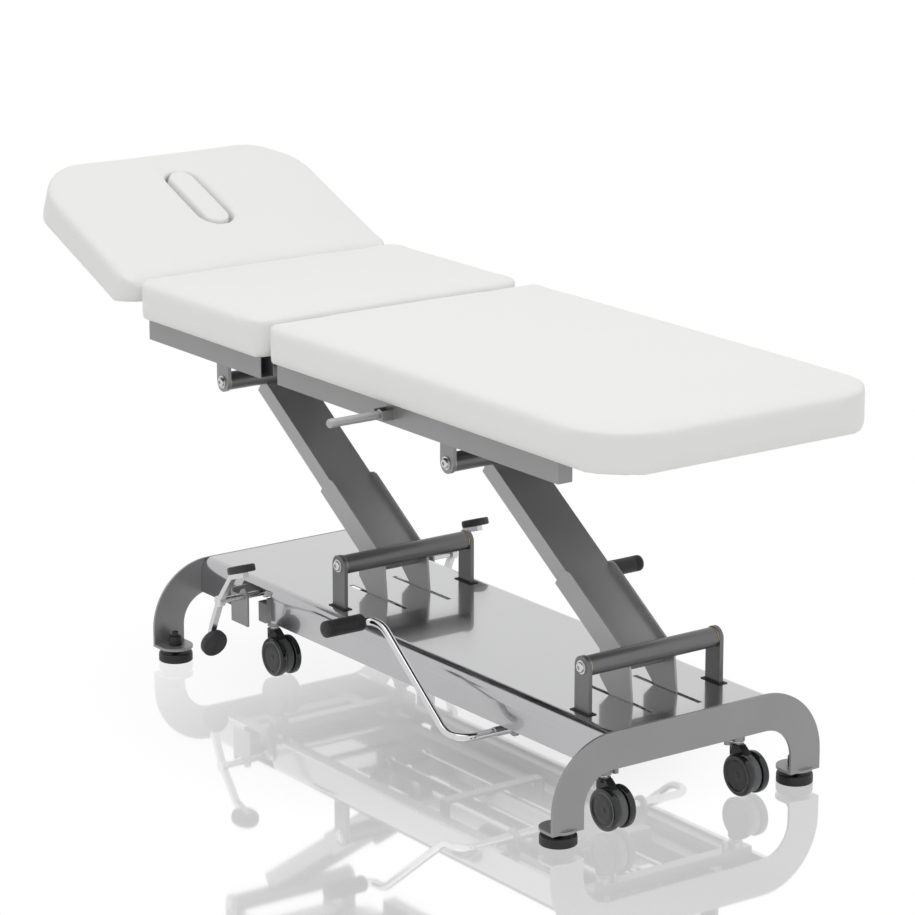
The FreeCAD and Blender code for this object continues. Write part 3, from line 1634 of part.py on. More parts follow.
def spring_barrel(start_x, offset, bore_end):
    """Gas spring barrel, open for its rod at the end given by a sign."""
    z, cap = size.spring_height, size.spring_cap
    outside = rod("X", (start_x, offset, z), size.spring_radius, size.spring_length)
    bore = rod("X", (start_x + cap, offset, z), size.spring_bore, size.spring_length - 2 * cap)
    gland_x = start_x + size.spring_length - cap if bore_end > 0 else start_x
    gland = rod("X", (gland_x, offset, z), size.spring_rod_radius + size.running_gap, cap)
    return cut(outside, bore, gland)


def spring_rod(pin_x, offset, piston_x, direction):
    """Gas spring rod with its piston and the slotted yoke of the lever pin."""
    z = size.spring_height
    half = size.spring_yoke_half_length
    yoke_face = pin_x + direction * half
    low, high = (yoke_face, piston_x) if direction > 0 else (piston_x, yoke_face)
    shaft = rod("X", (low, offset, z), size.spring_rod_radius, high - low)
    piston = rod("X", (piston_x - size.spring_piston_length / 2, offset, z),
                 size.spring_bore - size.running_gap, size.spring_piston_length)
    half_width = size.spring_yoke_half_width
    wall = half - size.spring_pin_radius - size.spring_yoke_play
    yoke = slotted_yoke(pin_x, (size.spring_yoke_bottom, size.spring_yoke_top), half,
                        (offset - half_width, offset + half_width), half - wall,
                        (size.spring_yoke_bottom + wall, size.spring_yoke_top - wall))
    return fuse(shaft, piston, yoke)


# Cushions.


def cushion(side_profile, x_range, corners):
    """Closed cushion: side profile, plan outline and rounded long edges together."""
    half, edge = size.cushion_half_width, size.cushion_edge
    low, high = x_range
    low_corner, high_corner = corners
    plan = [
        (low, -half, low_corner),
        (high, -half, high_corner),
        (high, half, high_corner),
        (low, half, low_corner),
    ]
    bottom, top = side_profile[0]
    section = [
        (-half, bottom, edge),
        (half, bottom, edge),
        (half, top, edge),
        (-half, top, edge),
    ]
    side = prism("XZ_Plane", side_profile[1], -half, half)
    plan_body = prism("XY_Plane", plan, bottom, top)
    section_body = prism("YZ_Plane", section, low, high)
    return common(common(side, plan_body), section_body)


def mid_cushion():
    low, high, edge = size.mid_cushion_head_x, size.mid_cushion_foot_x, size.cushion_edge
    bottom, top = side_tube_top, cushion_top
    outline = [(low, bottom, edge), (high, bottom, edge), (high, top, edge), (low, top, edge)]
    return cushion(((bottom, top), outline), (low, high), (size.joint_corner, size.joint_corner))


def leg_cushion():
    """Leg cushion with a round nose about its hinge and pockets for the hinge lugs."""
    low, high, edge = leg_hinge_x - size.nose_radius, size.leg_cushion_foot_x, size.cushion_edge
    bottom, top = side_tube_top, cushion_top
    outline = [(low, bottom, edge), (high, bottom, edge), (high, top, edge), (low, top, size.nose_radius)]
    whole = cushion(((bottom, top), outline), (low, high), (size.joint_corner, size.end_corner))
    pocket_x = (low, leg_hinge_x + size.hinge_pocket_beyond)
    hole = box(pocket_x, pocket_span(), (bottom, hinge_height + size.hinge_pocket_above))
    return cut(whole, both_sides(hole))


def pocket_span():
    """Width of a hinge pocket, centred where the strap's lug gap ends."""
    half = size.hinge_pocket / 2
    return (lug_inner - half, lug_inner + half)


def head_cushion():
    """Head cushion drawn flat about its hinge, then tilted, with the face slot."""
    nose, edge = size.nose_radius, size.cushion_edge
    low, high = -size.head_cushion_length, nose
    bottom, top = -hinge_above_frame, nose
    outline = [
        (low, bottom, edge),
        (-size.head_undercut, bottom),
        (high, -size.head_nose_drop),
        (high, top, nose),
        (low, top, edge),
    ]
    whole = cushion(((bottom, top), outline), (low, high), (size.head_end_corner, size.joint_corner))
    pocket_x = (-nose, high)
    hole = box(pocket_x, pocket_span(), (bottom, as_size(0) + size.hinge_pocket_above))
    slot = oval_prism(-size.face_slot_centre, size.face_slot_half_length, size.face_slot_half_width,
                      (bottom, top))
    return tilted(cut(whole, both_sides(hole), slot))


def face_plug():
    gap = size.plug_gap
    return tilted(oval_prism(-size.face_slot_centre, size.face_slot_half_length - gap,
                             size.face_slot_half_width - gap, (-hinge_above_frame, size.nose_radius)))


def head_frame():
    """Frame of the head section: two bars, three strips, lugs and the spring lever."""
    top = -hinge_above_frame
    bottom = top - size.head_bar_height
    start, width = -size.head_cross_start, size.head_cross_width
    bar_outer = size.head_bar_offset + size.head_bar_width
    bar = box((-size.head_bar_reach, start), (size.head_bar_offset, bar_outer), (bottom, top))
    strips = []
    for x in (-size.head_bar_reach, -size.head_strip_x):
        strips.append(box((x, x + width), (-size.head_bar_offset, size.head_bar_offset), (bottom, top)))
    lug_outer = lug_inner + size.lug_sheet
    strips.append(box((start - width, start), (-lug_outer, lug_outer), (bottom, top)))
    half = size.lug_half_width
    lug = fuse(
        lug_plate(as_size(0), as_size(0), bottom, (-half, half)),
        box((start, -half), (lug_inner, lug_outer), (bottom, top)),
    )
    lean = size.head_lever_lean
    pin = (size.spring_lever * sine(lean), -size.spring_lever * cosine(lean))
    lever = spring_lever(pin, -size.spring_offset, [(start, bottom), (start - width, bottom)])
    return tilted(fuse(both_sides(bar), *strips, both_sides(lug), lever))


def tilted(piece):
    """Turn a piece drawn about the head hinge to its tilt and place it there."""
    piece.Placement.Rotation = FreeCAD.Rotation(FreeCAD.Vector(0, 1, 0), size.head_tilt.value)
    bind(piece, "Placement.Rotation.Angle", size.head_tilt)
    bind_position(piece, (head_hinge_x, 0, hinge_height))
    return piece


def rest_buffers():
    """Rubber stops on the chassis under the leg frame."""
    x = size.leg_cross_x + size.side_tube_width / 2
    y = chassis_inner + size.chassis_rail_width / 2
    height = size.leg_cross_lift - size.end_gap
    return both_sides(rod("Z", (x, y, chassis_top), size.buffer_radius, height))


def build_base():
    name(group(*[arch_plate(end) for end in TABLE_ENDS.values()]), "arch_plates")
    name(base_rails(), "base_rails")
    name(base_cover(), "base_cover")
    name(slot_edging(), "slot_edging")
    name(lower_brackets(), "lower_brackets")
    lower_pivots = [arm_point(x, 0, 0) for x in (size.foot_pivot_x, size.head_pivot_x)]
    name(pivot_bolts(lower_pivots, bracket_outer), "lower_pivot_bolts")
    name(cylinder_barrel(), "cylinder_barrel")
    name(pump_block(), "pump_block")
    name(pump_bearings(), "pump_bearings")
    name(pedal_brackets(), "pedal_brackets")
    name(lock_nuts(), "lock_nuts")
    for end_name, end in TABLE_ENDS.items():
        for side_name, side in TABLE_SIDES.items():
            name(leveller(end, side), f"leveller_{end_name}_{side_name}")


def build_casters():
    name(carriage_frame(), "carriage_frame")
    for end_name, x in (("foot", size.caster_foot_x), ("head", size.caster_head_x)):
        for side_name, side in TABLE_SIDES.items():
            y = side * size.caster_offset
            name(caster_fork(x, y), f"caster_fork_{end_name}_{side_name}")
            name(caster_wheels(x, y), f"caster_wheels_{end_name}_{side_name}")
    name(pedal_axle(), "pedal_axle")
    name(pedal_lever(), "pedal_levers")
    name(pedal_pads(), "pedal_pads")


def build_pump():
    name(pump_axle(), "pump_axle")
    name(pump_lever(), "pump_levers")
    name(pump_grips(), "pump_grips")
    name(pump_plunger(), "pump_plunger")
    name(lift_ram(), "lift_ram")


def build_arms():
    for end_name, pivot_x in (("foot", size.foot_pivot_x), ("head", size.head_pivot_x)):
        name(arm_box(pivot_x), f"{end_name}_arm_box")
        name(arm_cradle(pivot_x), f"{end_name}_arm_cradle")
        name(arm_tubes(pivot_x), f"{end_name}_arm_tubes")
        name(arm_bushes(pivot_x), f"{end_name}_arm_bushes")
    name(sync_bars(), "sync_bars")


def build_lift_frame():
    name(chassis_frame(), "chassis_frame")
    name(upper_brackets(), "upper_brackets")
    upper_pivots = [
        arm_point(x, size.arm_length, 0) for x in (size.foot_pivot_x, size.head_pivot_x)
    ]
    name(pivot_bolts(upper_pivots, size.upper_bracket_outer), "upper_pivot_bolts")
    name(mid_frame(), "mid_frame")
    name(mid_cushion(), "mid_cushion")
    name(hinge_straps(), "hinge_straps")
    barrels = group(spring_barrel(size.leg_barrel_x, size.spring_offset, 1),
                    spring_barrel(size.head_barrel_x, -size.spring_offset, -1))
    name(barrels, "spring_barrels")
    name(rest_buffers(), "rest_buffers")


def build_sections():
    name(leg_frame(), "leg_frame")
    name(leg_cushion(), "leg_cushion")
    name(release_handle(), "release_handle")
    name(head_frame(), "head_frame")
    name(head_cushion(), "head_cushion")
    name(face_plug(), "face_plug")
    leg_pin_x = leg_hinge_x - size.spring_lever * sine(size.leg_lever_lean)
    name(spring_rod(leg_pin_x, size.spring_offset, size.leg_piston_x, -1), "leg_spring_rod")
    head_lean = size.head_tilt - size.head_lever_lean
    head_pin_x = head_hinge_x - size.spring_lever * sine(head_lean)
    name(spring_rod(head_pin_x, -size.spring_offset, size.head_piston_x, 1), "head_spring_rod")


def write_steps():
    """Check every object, then write one STEP file for each sub-part."""
    document.recompute()
    for thing in document.Objects:
        if "Invalid" in thing.State or "Error" in thing.State:
            raise RuntimeError(f"{thing.Name} ({thing.Label}) did not compute: {thing.State}")
    for node in nodes:
        shape = node.Shape
        if shape.isNull() or not shape.isValid() or not shape.Solids:
            raise RuntimeError(f"{node.Label} has no valid shape")
    os.makedirs("parts", exist_ok=True)
    for node in nodes:
        node.Shape.exportStep(f"parts/{node.Label}.step")
        print(node.Label, len(node.Shape.Solids), round(node.Shape.Volume))


build_base()
build_casters()
build_pump()
build_arms()
build_lift_frame()
build_sections()
write_steps()
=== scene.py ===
"""Looks of the hydraulic therapy table: upholstery, paint, rubber, casters and stage."""

import json
import math

import bmesh
import bpy
import numpy as np
from bpy.props import FloatProperty, FloatVectorProperty, IntProperty, PointerProperty
from mathutils import Matrix, Vector

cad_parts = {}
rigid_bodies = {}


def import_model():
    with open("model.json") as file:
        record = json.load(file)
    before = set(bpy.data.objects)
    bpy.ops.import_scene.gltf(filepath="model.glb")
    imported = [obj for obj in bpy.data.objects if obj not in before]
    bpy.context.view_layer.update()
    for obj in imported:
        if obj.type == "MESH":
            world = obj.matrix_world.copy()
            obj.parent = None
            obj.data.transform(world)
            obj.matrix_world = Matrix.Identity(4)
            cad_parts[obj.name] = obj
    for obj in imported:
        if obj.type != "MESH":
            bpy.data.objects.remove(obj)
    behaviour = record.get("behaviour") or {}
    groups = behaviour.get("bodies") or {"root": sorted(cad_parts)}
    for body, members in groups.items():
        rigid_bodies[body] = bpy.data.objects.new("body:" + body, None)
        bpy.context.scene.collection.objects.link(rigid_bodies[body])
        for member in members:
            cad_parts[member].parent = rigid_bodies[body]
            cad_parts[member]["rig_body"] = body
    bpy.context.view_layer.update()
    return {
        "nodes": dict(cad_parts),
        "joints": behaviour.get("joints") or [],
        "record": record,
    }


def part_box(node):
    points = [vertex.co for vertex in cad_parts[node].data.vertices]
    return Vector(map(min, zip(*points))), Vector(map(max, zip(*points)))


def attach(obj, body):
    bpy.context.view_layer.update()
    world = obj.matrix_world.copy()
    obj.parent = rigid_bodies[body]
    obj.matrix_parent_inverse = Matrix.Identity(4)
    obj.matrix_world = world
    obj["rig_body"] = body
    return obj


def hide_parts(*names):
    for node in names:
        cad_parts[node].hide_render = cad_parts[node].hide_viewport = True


bl_info = {
    "name": "Therapy Table",
    "version": (1, 0, 0),
    "blender": (4, 5, 0),
    "location": "View3D > Sidebar > Therapy Table",
    "description": "Upholstery, paint, rubber, casters and stage of a hydraulic therapy table",
    "category": "Object",
}

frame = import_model()
JOINTS = {joint["name"]: joint for joint in frame["joints"]}
SLOT_OF = {part["node"]: part["material_slot"] for part in frame["record"]["subparts"]}
ENDS = ("foot", "head")
SIDES = ("near", "far")
ACROSS = Vector((0, 1, 0))
UP = Vector((0, 0, 1))


def joint_place(name):
    return Vector(JOINTS[name]["pos_m"])


# Sizes and colours that a user would change.


def colour(name, red, green, blue, words):
    return FloatVectorProperty(
        name=name, description=words, default=(red, green, blue), size=3, min=0, max=1, subtype="COLOR"
    )


def length(name, default, words):
    return FloatProperty(name=name, description=words, default=default, subtype="DISTANCE", unit="LENGTH")


def number(name, default, words):
    return FloatProperty(name=name, description=words, default=default)


def count(name, default, words):
    return IntProperty(name=name, description=words, default=default)


class TableColours(bpy.types.PropertyGroup):
    """Colours of the finishes"""

    cover: colour("Cover", 0.34, 0.34, 0.35, "Polished grey lacquer of the base cover")
    frame: colour("Frame", 0.3, 0.3, 0.305, "Satin silver-grey paint of the frames")
    # pivots is the frame paint made darker, as painted shade on the lower brackets and cross tubes low
    # under the table.
    pivots: colour("Pivots", 0.17, 0.17, 0.173, "Satin grey paint of the lower brackets and cross tubes")
    # arms is the frame paint made lighter, as painted light on the lift arms.
    arms: colour("Arms", 0.42, 0.42, 0.425, "Satin grey paint of the lift arms")
    vinyl: colour("Vinyl", 0.86, 0.86, 0.845, "Upholstery vinyl")
    lining: colour("Lining", 0.035, 0.035, 0.037, "Cloth under the cushions")
    steel: colour("Steel", 0.62, 0.62, 0.62, "Zinc-plated steel")
    chrome: colour("Chrome", 0.64, 0.64, 0.65, "Chrome plating")
    rubber: colour("Rubber", 0.022, 0.022, 0.023, "Grips and feet")
    tyre: colour("Tyre", 0.009, 0.009, 0.010, "Glossy caster tyres")
    disc: colour("Disc", 0.045, 0.045, 0.048, "Satin faces of the caster wheels")
    strip: colour("Strip", 0.11, 0.115, 0.12, "Strips of the caster forks")
    bronze: colour("Bronze", 0.55, 0.42, 0.2, "Bushes of the pivots")


class TableUpholstery(bpy.types.PropertyGroup):
    """Form of the cushions"""

    crown: length("Crown", 0.004, "Rise of a cushion's top between its edges")
    side_pull: length("Side pull", 0.003, "How far the sides pull in between the corners")
    slack: length("Slack", 0.003, "How much smaller a cushion starts before it swells")
    swell: length("Swell", 0.003, "Furthest that the cover moves as it swells")
    skin: length("Skin", 0.0075, "Size of the faces of a cushion's cover")
    plug_skin: length("Plug skin", 0.003, "Size of the faces of the face plug's cover")
    border: length("Border", 0.02, "Vinyl turned under before the lining starts")
    pressure: number("Pressure", 4.0, "Stuffing pressure")


class TableFittings(bpy.types.PropertyGroup):
    """Wheels, grips and pads"""

    grip_rings: count("Grip rings", 3, "Grooves at each end of a grip")
    pad_rings: count("Pad rings", 7, "Ridges on the face of a pedal pad")
    weld_beads: count("Weld beads", 14, "Ripples of a weld run")


class TableStage(bpy.types.PropertyGroup):
    """Camera, lamps and floor"""

    lens: number("Lens", 146.24, "Focal length on a 36 mm sensor")
    room_light: number("Room light", 0.72, "Level of the light all round")
    top_light: number("Top light", 24.0, "Power of the large lamp above")
    foot_light: number("Foot light", 4.0, "Power of the low lamp at the foot end")
    side_light: number("Side light", 2.0, "Power of the lamp beside the camera")
    floor: colour("Floor", 0.88, 0.88, 0.88, "Polished studio floor")


GROUPS = {
    "therapy_colours": TableColours,
    "therapy_upholstery": TableUpholstery,
    "therapy_fittings": TableFittings,
    "therapy_stage": TableStage,
}


# Paints.


class Shade:
    """An output of a paint's node, with arithmetic that adds Math nodes."""

    def __init__(self, paint, socket):
        self.paint = paint
        self.socket = socket

    def math(self, operation, *values):
        return self.paint.add("ShaderNodeMath", {"operation": operation}, dict(enumerate(values)))

    def __add__(self, other):
        return self.math("ADD", self, other)

    def __sub__(self, other):
        return self.math("SUBTRACT", self, other)

    def __mul__(self, other):
        return self.math("MULTIPLY", self, other)

    def __radd__(self, other):
        return self.math("ADD", other, self)

    def __rsub__(self, other):
        return self.math("SUBTRACT", other, self)

    def __rmul__(self, other):
        return self.math("MULTIPLY", other, self)

    def root(self):
        return self.math("SQRT", self)

    def greater(self, other):
        return self.math("MAXIMUM", self, other)

    def step(self, low, high):
        """0 below low, 1 above high and a smooth rise between."""
        return self.paint.add(
            "ShaderNodeMapRange",
            {"interpolation_type": "SMOOTHSTEP"},
            {"Value": self, "From Min": low, "From Max": high},
        )


class Nodes:
    """The nodes of a material or of the world under construction."""

    def __init__(self, owner):
        owner.use_nodes = True
        self.tree = owner.node_tree
        self.tree.nodes.clear()

    def add(self, kind, settings=None, sockets=None, out=0):
        """Add a node: its settings first, then the values or links of its sockets."""
        node = self.tree.nodes.new(kind)
        for key, value in (settings or {}).items():
            setattr(node, key, value)
        for key, value in (sockets or {}).items():
            if isinstance(value, Shade):
                self.tree.links.new(value.socket, node.inputs[key])
            else:
                node.inputs[key].default_value = value
        return Shade(self, node.outputs[out]) if node.outputs else None

    def parts(self, kind, *names, **sockets):
        """Add a node and give the outputs that are named."""
        outputs = self.add(kind, sockets=sockets).socket.node.outputs
        return [Shade(self, outputs[name]) for name in names]


class Paint(Nodes):
    """A material under construction."""

    def __init__(self, name):
        self.material = bpy.data.materials.new(name)
        super().__init__(self.material)
        self.place = self.add("ShaderNodeTexCoord", out="Object")

    def stretched(self, scale):
        return self.add("ShaderNodeMapping", sockets={"Vector": self.place, "Scale": scale})

    def noise(self, scale, detail=3.0, roughness=0.5, where=None):
        sockets = {"Vector": where or self.place, "Scale": scale, "Detail": detail, "Roughness": roughness}
        return self.add("ShaderNodeTexNoise", sockets=sockets)

    def cells(self, scale, where=None):
        sockets = {"Vector": where or self.place, "Scale": scale}
        return self.add("ShaderNodeTexVoronoi", {"feature": "F1"}, sockets)

    def blend(self, share, first, second):
        """Colour between two colours."""
        return self.add("ShaderNodeMix", {"data_type": "RGBA"}, {0: share, 6: first, 7: second}, out=2)

    def tone(self, shade, base, low, high):
        """The base colour made darker and lighter by a shade from 0 to 1."""
        dark = (*[min(1, channel * low) for channel in base], 1)
        light = (*[min(1, channel * high) for channel in base], 1)
        return self.blend(shade, dark, light)

    def bump(self, height, distance, strength=1.0, over=None):
        sockets = {"Height": height, "Distance": distance, "Strength": strength}
        if over:
            sockets["Normal"] = over
        return self.add("ShaderNodeBump", sockets=sockets)

    def round_edges(self, radius):
        return self.add("ShaderNodeBevel", {"samples": 4}, {"Radius": radius})

    def highlit_edge_mask(self, rounded):
        """1 on the outer corners of a piece and 0 on its faces."""
        plain = self.add("ShaderNodeNewGeometry", out="Normal")
        dot = self.add(
            "ShaderNodeVectorMath", {"operation": "DOT_PRODUCT"}, {0: rounded, 1: plain}, out="Value"
        )
        return (1 - dot).step(0.02, 0.2)

    def finish(self, **sockets):
        """Close the paint with one Principled shader."""
        named = {}
        for key, value in sockets.items():
            named[key.replace("_", " ").title().replace("Ior", "IOR")] = value
        surface = self.add("ShaderNodeBsdfPrincipled", sockets=named)
        self.add("ShaderNodeOutputMaterial", sockets={"Surface": surface})
        return self.material


def sprayed_paint(name, base, metallic, gloss, coat=0.0, edge=0.0012):
    """Metal-flake paint on steel, a little lighter along its edges as a painted highlight."""
    paint = Paint(name)
    cloud = paint.noise(9.0, 4.0)
    flake = paint.cells(2600.0)
    peel = paint.noise(420.0, 2.0)
    rounded = paint.round_edges(edge)
    highlit_edges = paint.highlit_edge_mask(rounded)
    body = paint.tone(cloud * 0.7 + flake * 0.3, base, 0.9, 1.12)
    # Painted highlight: the colour is lighter along the edges.
    colour_out = paint.blend(highlit_edges * 0.55, body, (*[min(1, c * 1.9) for c in base], 1))
    return paint.finish(
        base_color=colour_out,
        metallic=metallic,
        roughness=gloss + (cloud - 0.5) * 0.08 + highlit_edges * 0.06,
        coat_weight=coat,
        coat_roughness=0.03,
        coat_ior=2.4,
        normal=paint.bump(peel, 0.00006, 0.5, rounded),
    )


def vinyl(name, base, lining=False):
    """Smooth upholstery vinyl with a fine grain and soft creases at the corners."""
    paint = Paint(name)
    grain = paint.cells(1150.0)
    pores = paint.noise(2400.0, 2.0)
    cloud = paint.noise(5.0, 3.0)
    corner = paint.add("ShaderNodeAttribute", {"attribute_name": "corner"}, out="Fac")
    creases = paint.noise(38.0, 2.0, 0.4, paint.stretched((1.0, 1.0, 0.3))) * corner
    skin = paint.bump(grain * 0.6 + pores * 0.4, 0.00012, 0.5)
    return paint.finish(
        base_color=paint.tone(cloud * 0.6 + grain * 0.4, base, 0.975, 1.02),
        roughness=0.4 + (cloud - 0.5) * 0.1 + grain * 0.08,
        specular_ior_level=0.42,
        sheen_weight=0.08,
        sheen_roughness=0.4,
        normal=paint.bump(creases, 0.0035, 0.8, skin),
    )


def lining_cloth(name, base):
    """Black non-woven cloth stapled under a cushion."""
    paint = Paint(name)
    fibres = paint.noise(900.0, 5.0, 0.7, paint.stretched((1.0, 0.35, 1.0)))
    dots = paint.cells(420.0)
    return paint.finish(
        base_color=paint.tone(fibres, base, 0.7, 1.5),
        roughness=0.85 + (fibres - 0.5) * 0.2,
        sheen_weight=0.15,
        normal=paint.bump(fibres * 0.6 + dots * 0.4, 0.0004, 0.7),
    )


def plated_steel(name, base, gloss, scratch=0.00004):
    """Plated steel with fine rubbing marks."""
    paint = Paint(name)
    rubbed = paint.noise(260.0, 4.0, 0.6, paint.stretched((1.0, 6.0, 1.0)))
    cloud = paint.noise(18.0, 3.0)
    rounded = paint.round_edges(0.0008)
    return paint.finish(
        base_color=paint.tone(cloud * 0.6 + rubbed * 0.4, base, 0.85, 1.1),
        metallic=1.0,
        roughness=gloss + (rubbed - 0.5) * gloss * 0.7,
        normal=paint.bump(rubbed, scratch, 0.5, rounded),
    )


def moulded(name, base, gloss, grain=300.0, depth=0.00008, coat=0.0):
    """Moulded rubber or plastic, lighter along its edges as a painted highlight."""
    paint = Paint(name)
    fine = paint.noise(grain, 3.0, 0.6)
    cloud = paint.noise(22.0, 3.0)
    rounded = paint.round_edges(0.001)
    highlit_edges = paint.highlit_edge_mask(rounded)
    body = paint.tone(cloud * 0.5 + fine * 0.5, base, 0.75, 1.3)
    # Painted highlight: the colour is lighter along the edges.
    return paint.finish(
        base_color=paint.blend(highlit_edges * 0.35, body, (*[min(1, c * 2.4) for c in base], 1)),
        roughness=gloss + (fine - 0.5) * 0.12 + highlit_edges * 0.1,
        specular_ior_level=0.35,
        coat_weight=coat,
        coat_roughness=0.06,
        normal=paint.bump(fine, depth, 0.6, rounded),
    )


def cast_iron(name, base):
    """Rough cast metal under grey primer."""
    paint = Paint(name)
    sand = paint.noise(520.0, 5.0, 0.65)
    cloud = paint.noise(14.0, 4.0)
    return paint.finish(
        base_color=paint.tone(cloud * 0.5 + sand * 0.5, base, 0.7, 1.25),
        metallic=0.6,
        roughness=0.55 + (sand - 0.5) * 0.2,
        normal=paint.bump(sand, 0.0003, 0.6),
    )


PAINTS = {}


def mix_paints(colours):
    """Make every finish once."""
    PAINTS.update(
        cover_paint=sprayed_paint("cover_lacquer", colours.cover, 1.0, 0.2, coat=1.0),
        frame_paint=sprayed_paint("frame_paint", colours.frame, 0.55, 0.36),
        # A lighter copy of the frame paint: painted light on the lift arms, their welds and the release
        # handle.
        arm_paint=sprayed_paint("arm_paint", colours.arms, 0.4, 0.36),
        # A darker copy of the frame paint: painted shade on the lower brackets and cross tubes.
        pivot_paint=sprayed_paint("pivot_paint", colours.pivots, 0.5, 0.32),
        upholstery=vinyl("white_vinyl", colours.vinyl),
        lining=lining_cloth("lining_cloth", colours.lining),
        bright_steel=plated_steel("zinc_plate", colours.steel, 0.26),
        chrome=plated_steel("chrome_plate", colours.chrome, 0.07, 0.00001),
        black_rubber=moulded("black_rubber", colours.rubber, 0.5),
        pad_rubber=moulded("pad_rubber", colours.disc, 0.55, 700.0, 0.0002),
        wheel_plastic=moulded("tyre_plastic", colours.tyre, 0.16, 120.0, 0.00002, coat=0.4),
        wheel_disc=moulded("wheel_disc", colours.disc, 0.38, 500.0),
        fork_plastic=moulded("fork_plastic", colours.rubber, 0.32, 400.0),
        fork_strip=moulded("fork_strip", colours.strip, 0.36, 400.0),
        black_plastic=moulded("black_plastic", colours.rubber, 0.4, 450.0),
        bush_bronze=plated_steel("bush_bronze", colours.bronze, 0.34),
        cast_metal=cast_iron("cast_metal", colours.steel),
    )


# Making pieces.


SHARP_ANGLE = math.radians(35)


def settle(bm, name, finishes, body, *replaced):
    """Turn a bmesh into a piece that rides on a body and stands for CAD nodes."""
    bmesh.ops.remove_doubles(bm, verts=bm.verts, dist=1e-6)
    bmesh.ops.recalc_face_normals(bm, faces=bm.faces)
    mesh = bpy.data.meshes.new(name)
    bm.to_mesh(mesh)
    bm.free()
    piece = bpy.data.objects.new(name, mesh)
    bpy.context.scene.collection.objects.link(piece)
    for finish in finishes:
        mesh.materials.append(PAINTS[finish])
    mesh.shade_smooth()
    mesh.set_sharp_from_angle(angle=SHARP_ANGLE)
    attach(piece, body)
    if replaced:
        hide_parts(*replaced)


def spun(bm, profile, centre, axis, steps, finish_of=None):
    """Spin (radius, along) points right round an axis through a centre."""
    axis = Vector(axis).normalized()
    out = axis.orthogonal().normalized()
    faces_before = set(bm.faces)
    chain = [bm.verts.new(Vector(centre) + out * radius + axis * along) for radius, along in profile]
    edges = [bm.edges.new(pair) for pair in zip(chain, chain[1:])]
    bmesh.ops.spin(
        bm, geom=chain + edges, cent=centre, axis=axis, angle=2 * math.pi, steps=steps, use_merge=True
    )
    if finish_of:
        for face in set(bm.faces) - faces_before:
            middle = face.calc_center_median() - Vector(centre)
            along = middle.dot(axis)
            face.material_index = finish_of((middle - axis * along).length, along)


def pieces_box(node):
    low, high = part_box(node)
    return low, high, (low + high) / 2


# Cushions.


# Radius of a cushion's corners in plan, at its head end and at its foot end.
CORNERS = {
    "mid_cushion": (0.058, 0.058),
    "leg_cushion": (0.058, 0.14),
    "head_cushion": (0.15, 0.058),
    "face_plug": (0.032, 0.032),
}
PLUG_AXIS = Vector(JOINTS["face_plug_lift"]["axis"])
HEAD_TILT = math.atan2(PLUG_AXIS.x, PLUG_AXIS.z)
# The face plug starts this much smaller, rises this much and swells only above this share of its height.
PLUG_SLACK = 0.0012
PLUG_CROWN = 0.0025
PLUG_WALL = 0.93
# Lower than this share of its height a cushion rests on its board.
BOARD = -0.9
UNDERSIDE = 0.001
CREASE_REACH = 0.03
SWELL_STEPS = 20
SWELL_SETTINGS = {
    "quality": 5,
    "mass": 0.3,
    "tension_stiffness": 15,
    "compression_stiffness": 15,
    "shear_stiffness": 5,
    "bending_stiffness": 1.5,
    "use_pressure": True,
    "vertex_group_mass": "seat",
}


def laid_flat(node):
    """Turn about the head hinge that lays a head piece flat; the other pieces lie flat already."""
    if node not in ("head_cushion", "face_plug"):
        return Matrix.Identity(4)
    hinge = joint_place("head_section_turn")
    return Matrix.Translation(hinge) @ Matrix.Rotation(-HEAD_TILT, 4, "Y") @ Matrix.Translation(-hinge)


def cover_of(node, skin):
    """Even mesh over a cushion's CAD solid, laid flat."""
    bm = bmesh.new()
    bm.from_mesh(frame["nodes"][node].data)
    bmesh.ops.remove_doubles(bm, verts=bm.verts, dist=1e-5)
    bm.transform(laid_flat(node))
    mesh = bpy.data.meshes.new(node + "_cover")
    bm.to_mesh(mesh)
    bm.free()
    piece = bpy.data.objects.new(node + "_cover", mesh)
    bpy.context.scene.collection.objects.link(piece)
    remesh = piece.modifiers.new("Skin", "REMESH")
    remesh.mode = "VOXEL"
    remesh.voxel_size = skin
    take_shape(piece)
    return piece


def take_shape(piece):
    """Apply a piece's modifiers to its mesh."""
    depsgraph = bpy.context.evaluated_depsgraph_get()
    shaped = bpy.data.meshes.new_from_object(piece.evaluated_get(depsgraph))
    piece.modifiers.clear()
    piece.data = shaped


def points_of(mesh):
    flat = np.empty(len(mesh.vertices) * 3)
    mesh.vertices.foreach_get("co", flat)
    return flat.reshape(-1, 3)


def set_points(mesh, points):
    mesh.vertices.foreach_set("co", points.ravel())
    mesh.update()


def normals_of(mesh):
    flat = np.empty(len(mesh.vertices) * 3)
    mesh.vertices.foreach_get("normal", flat)
    return flat.reshape(-1, 3)


class CushionForm:
    """The box of a flat cushion and where each point of it lies."""

    def __init__(self, mesh, corners):
        points = points_of(mesh)
        self.low, self.high = points.min(0), points.max(0)
        self.middle = (self.low + self.high) / 2
        self.half = (self.high - self.low) / 2
        self.corners = corners

    def shares(self, points):
        """Place along, across and up, from -1 to 1."""
        return ((points - self.middle) / self.half).T

    def inside_outline(self, points):
        """How far inside the plan outline with round corners each point lies."""
        corner = np.where(points[:, 0] < self.middle[0], *self.corners)
        reach = np.abs(points[:, :2] - self.middle[:2]) - (self.half[:2] - corner[:, None])
        outside = np.linalg.norm(np.maximum(reach, 0), axis=1) + np.minimum(reach.max(axis=1), 0)
        return corner - outside


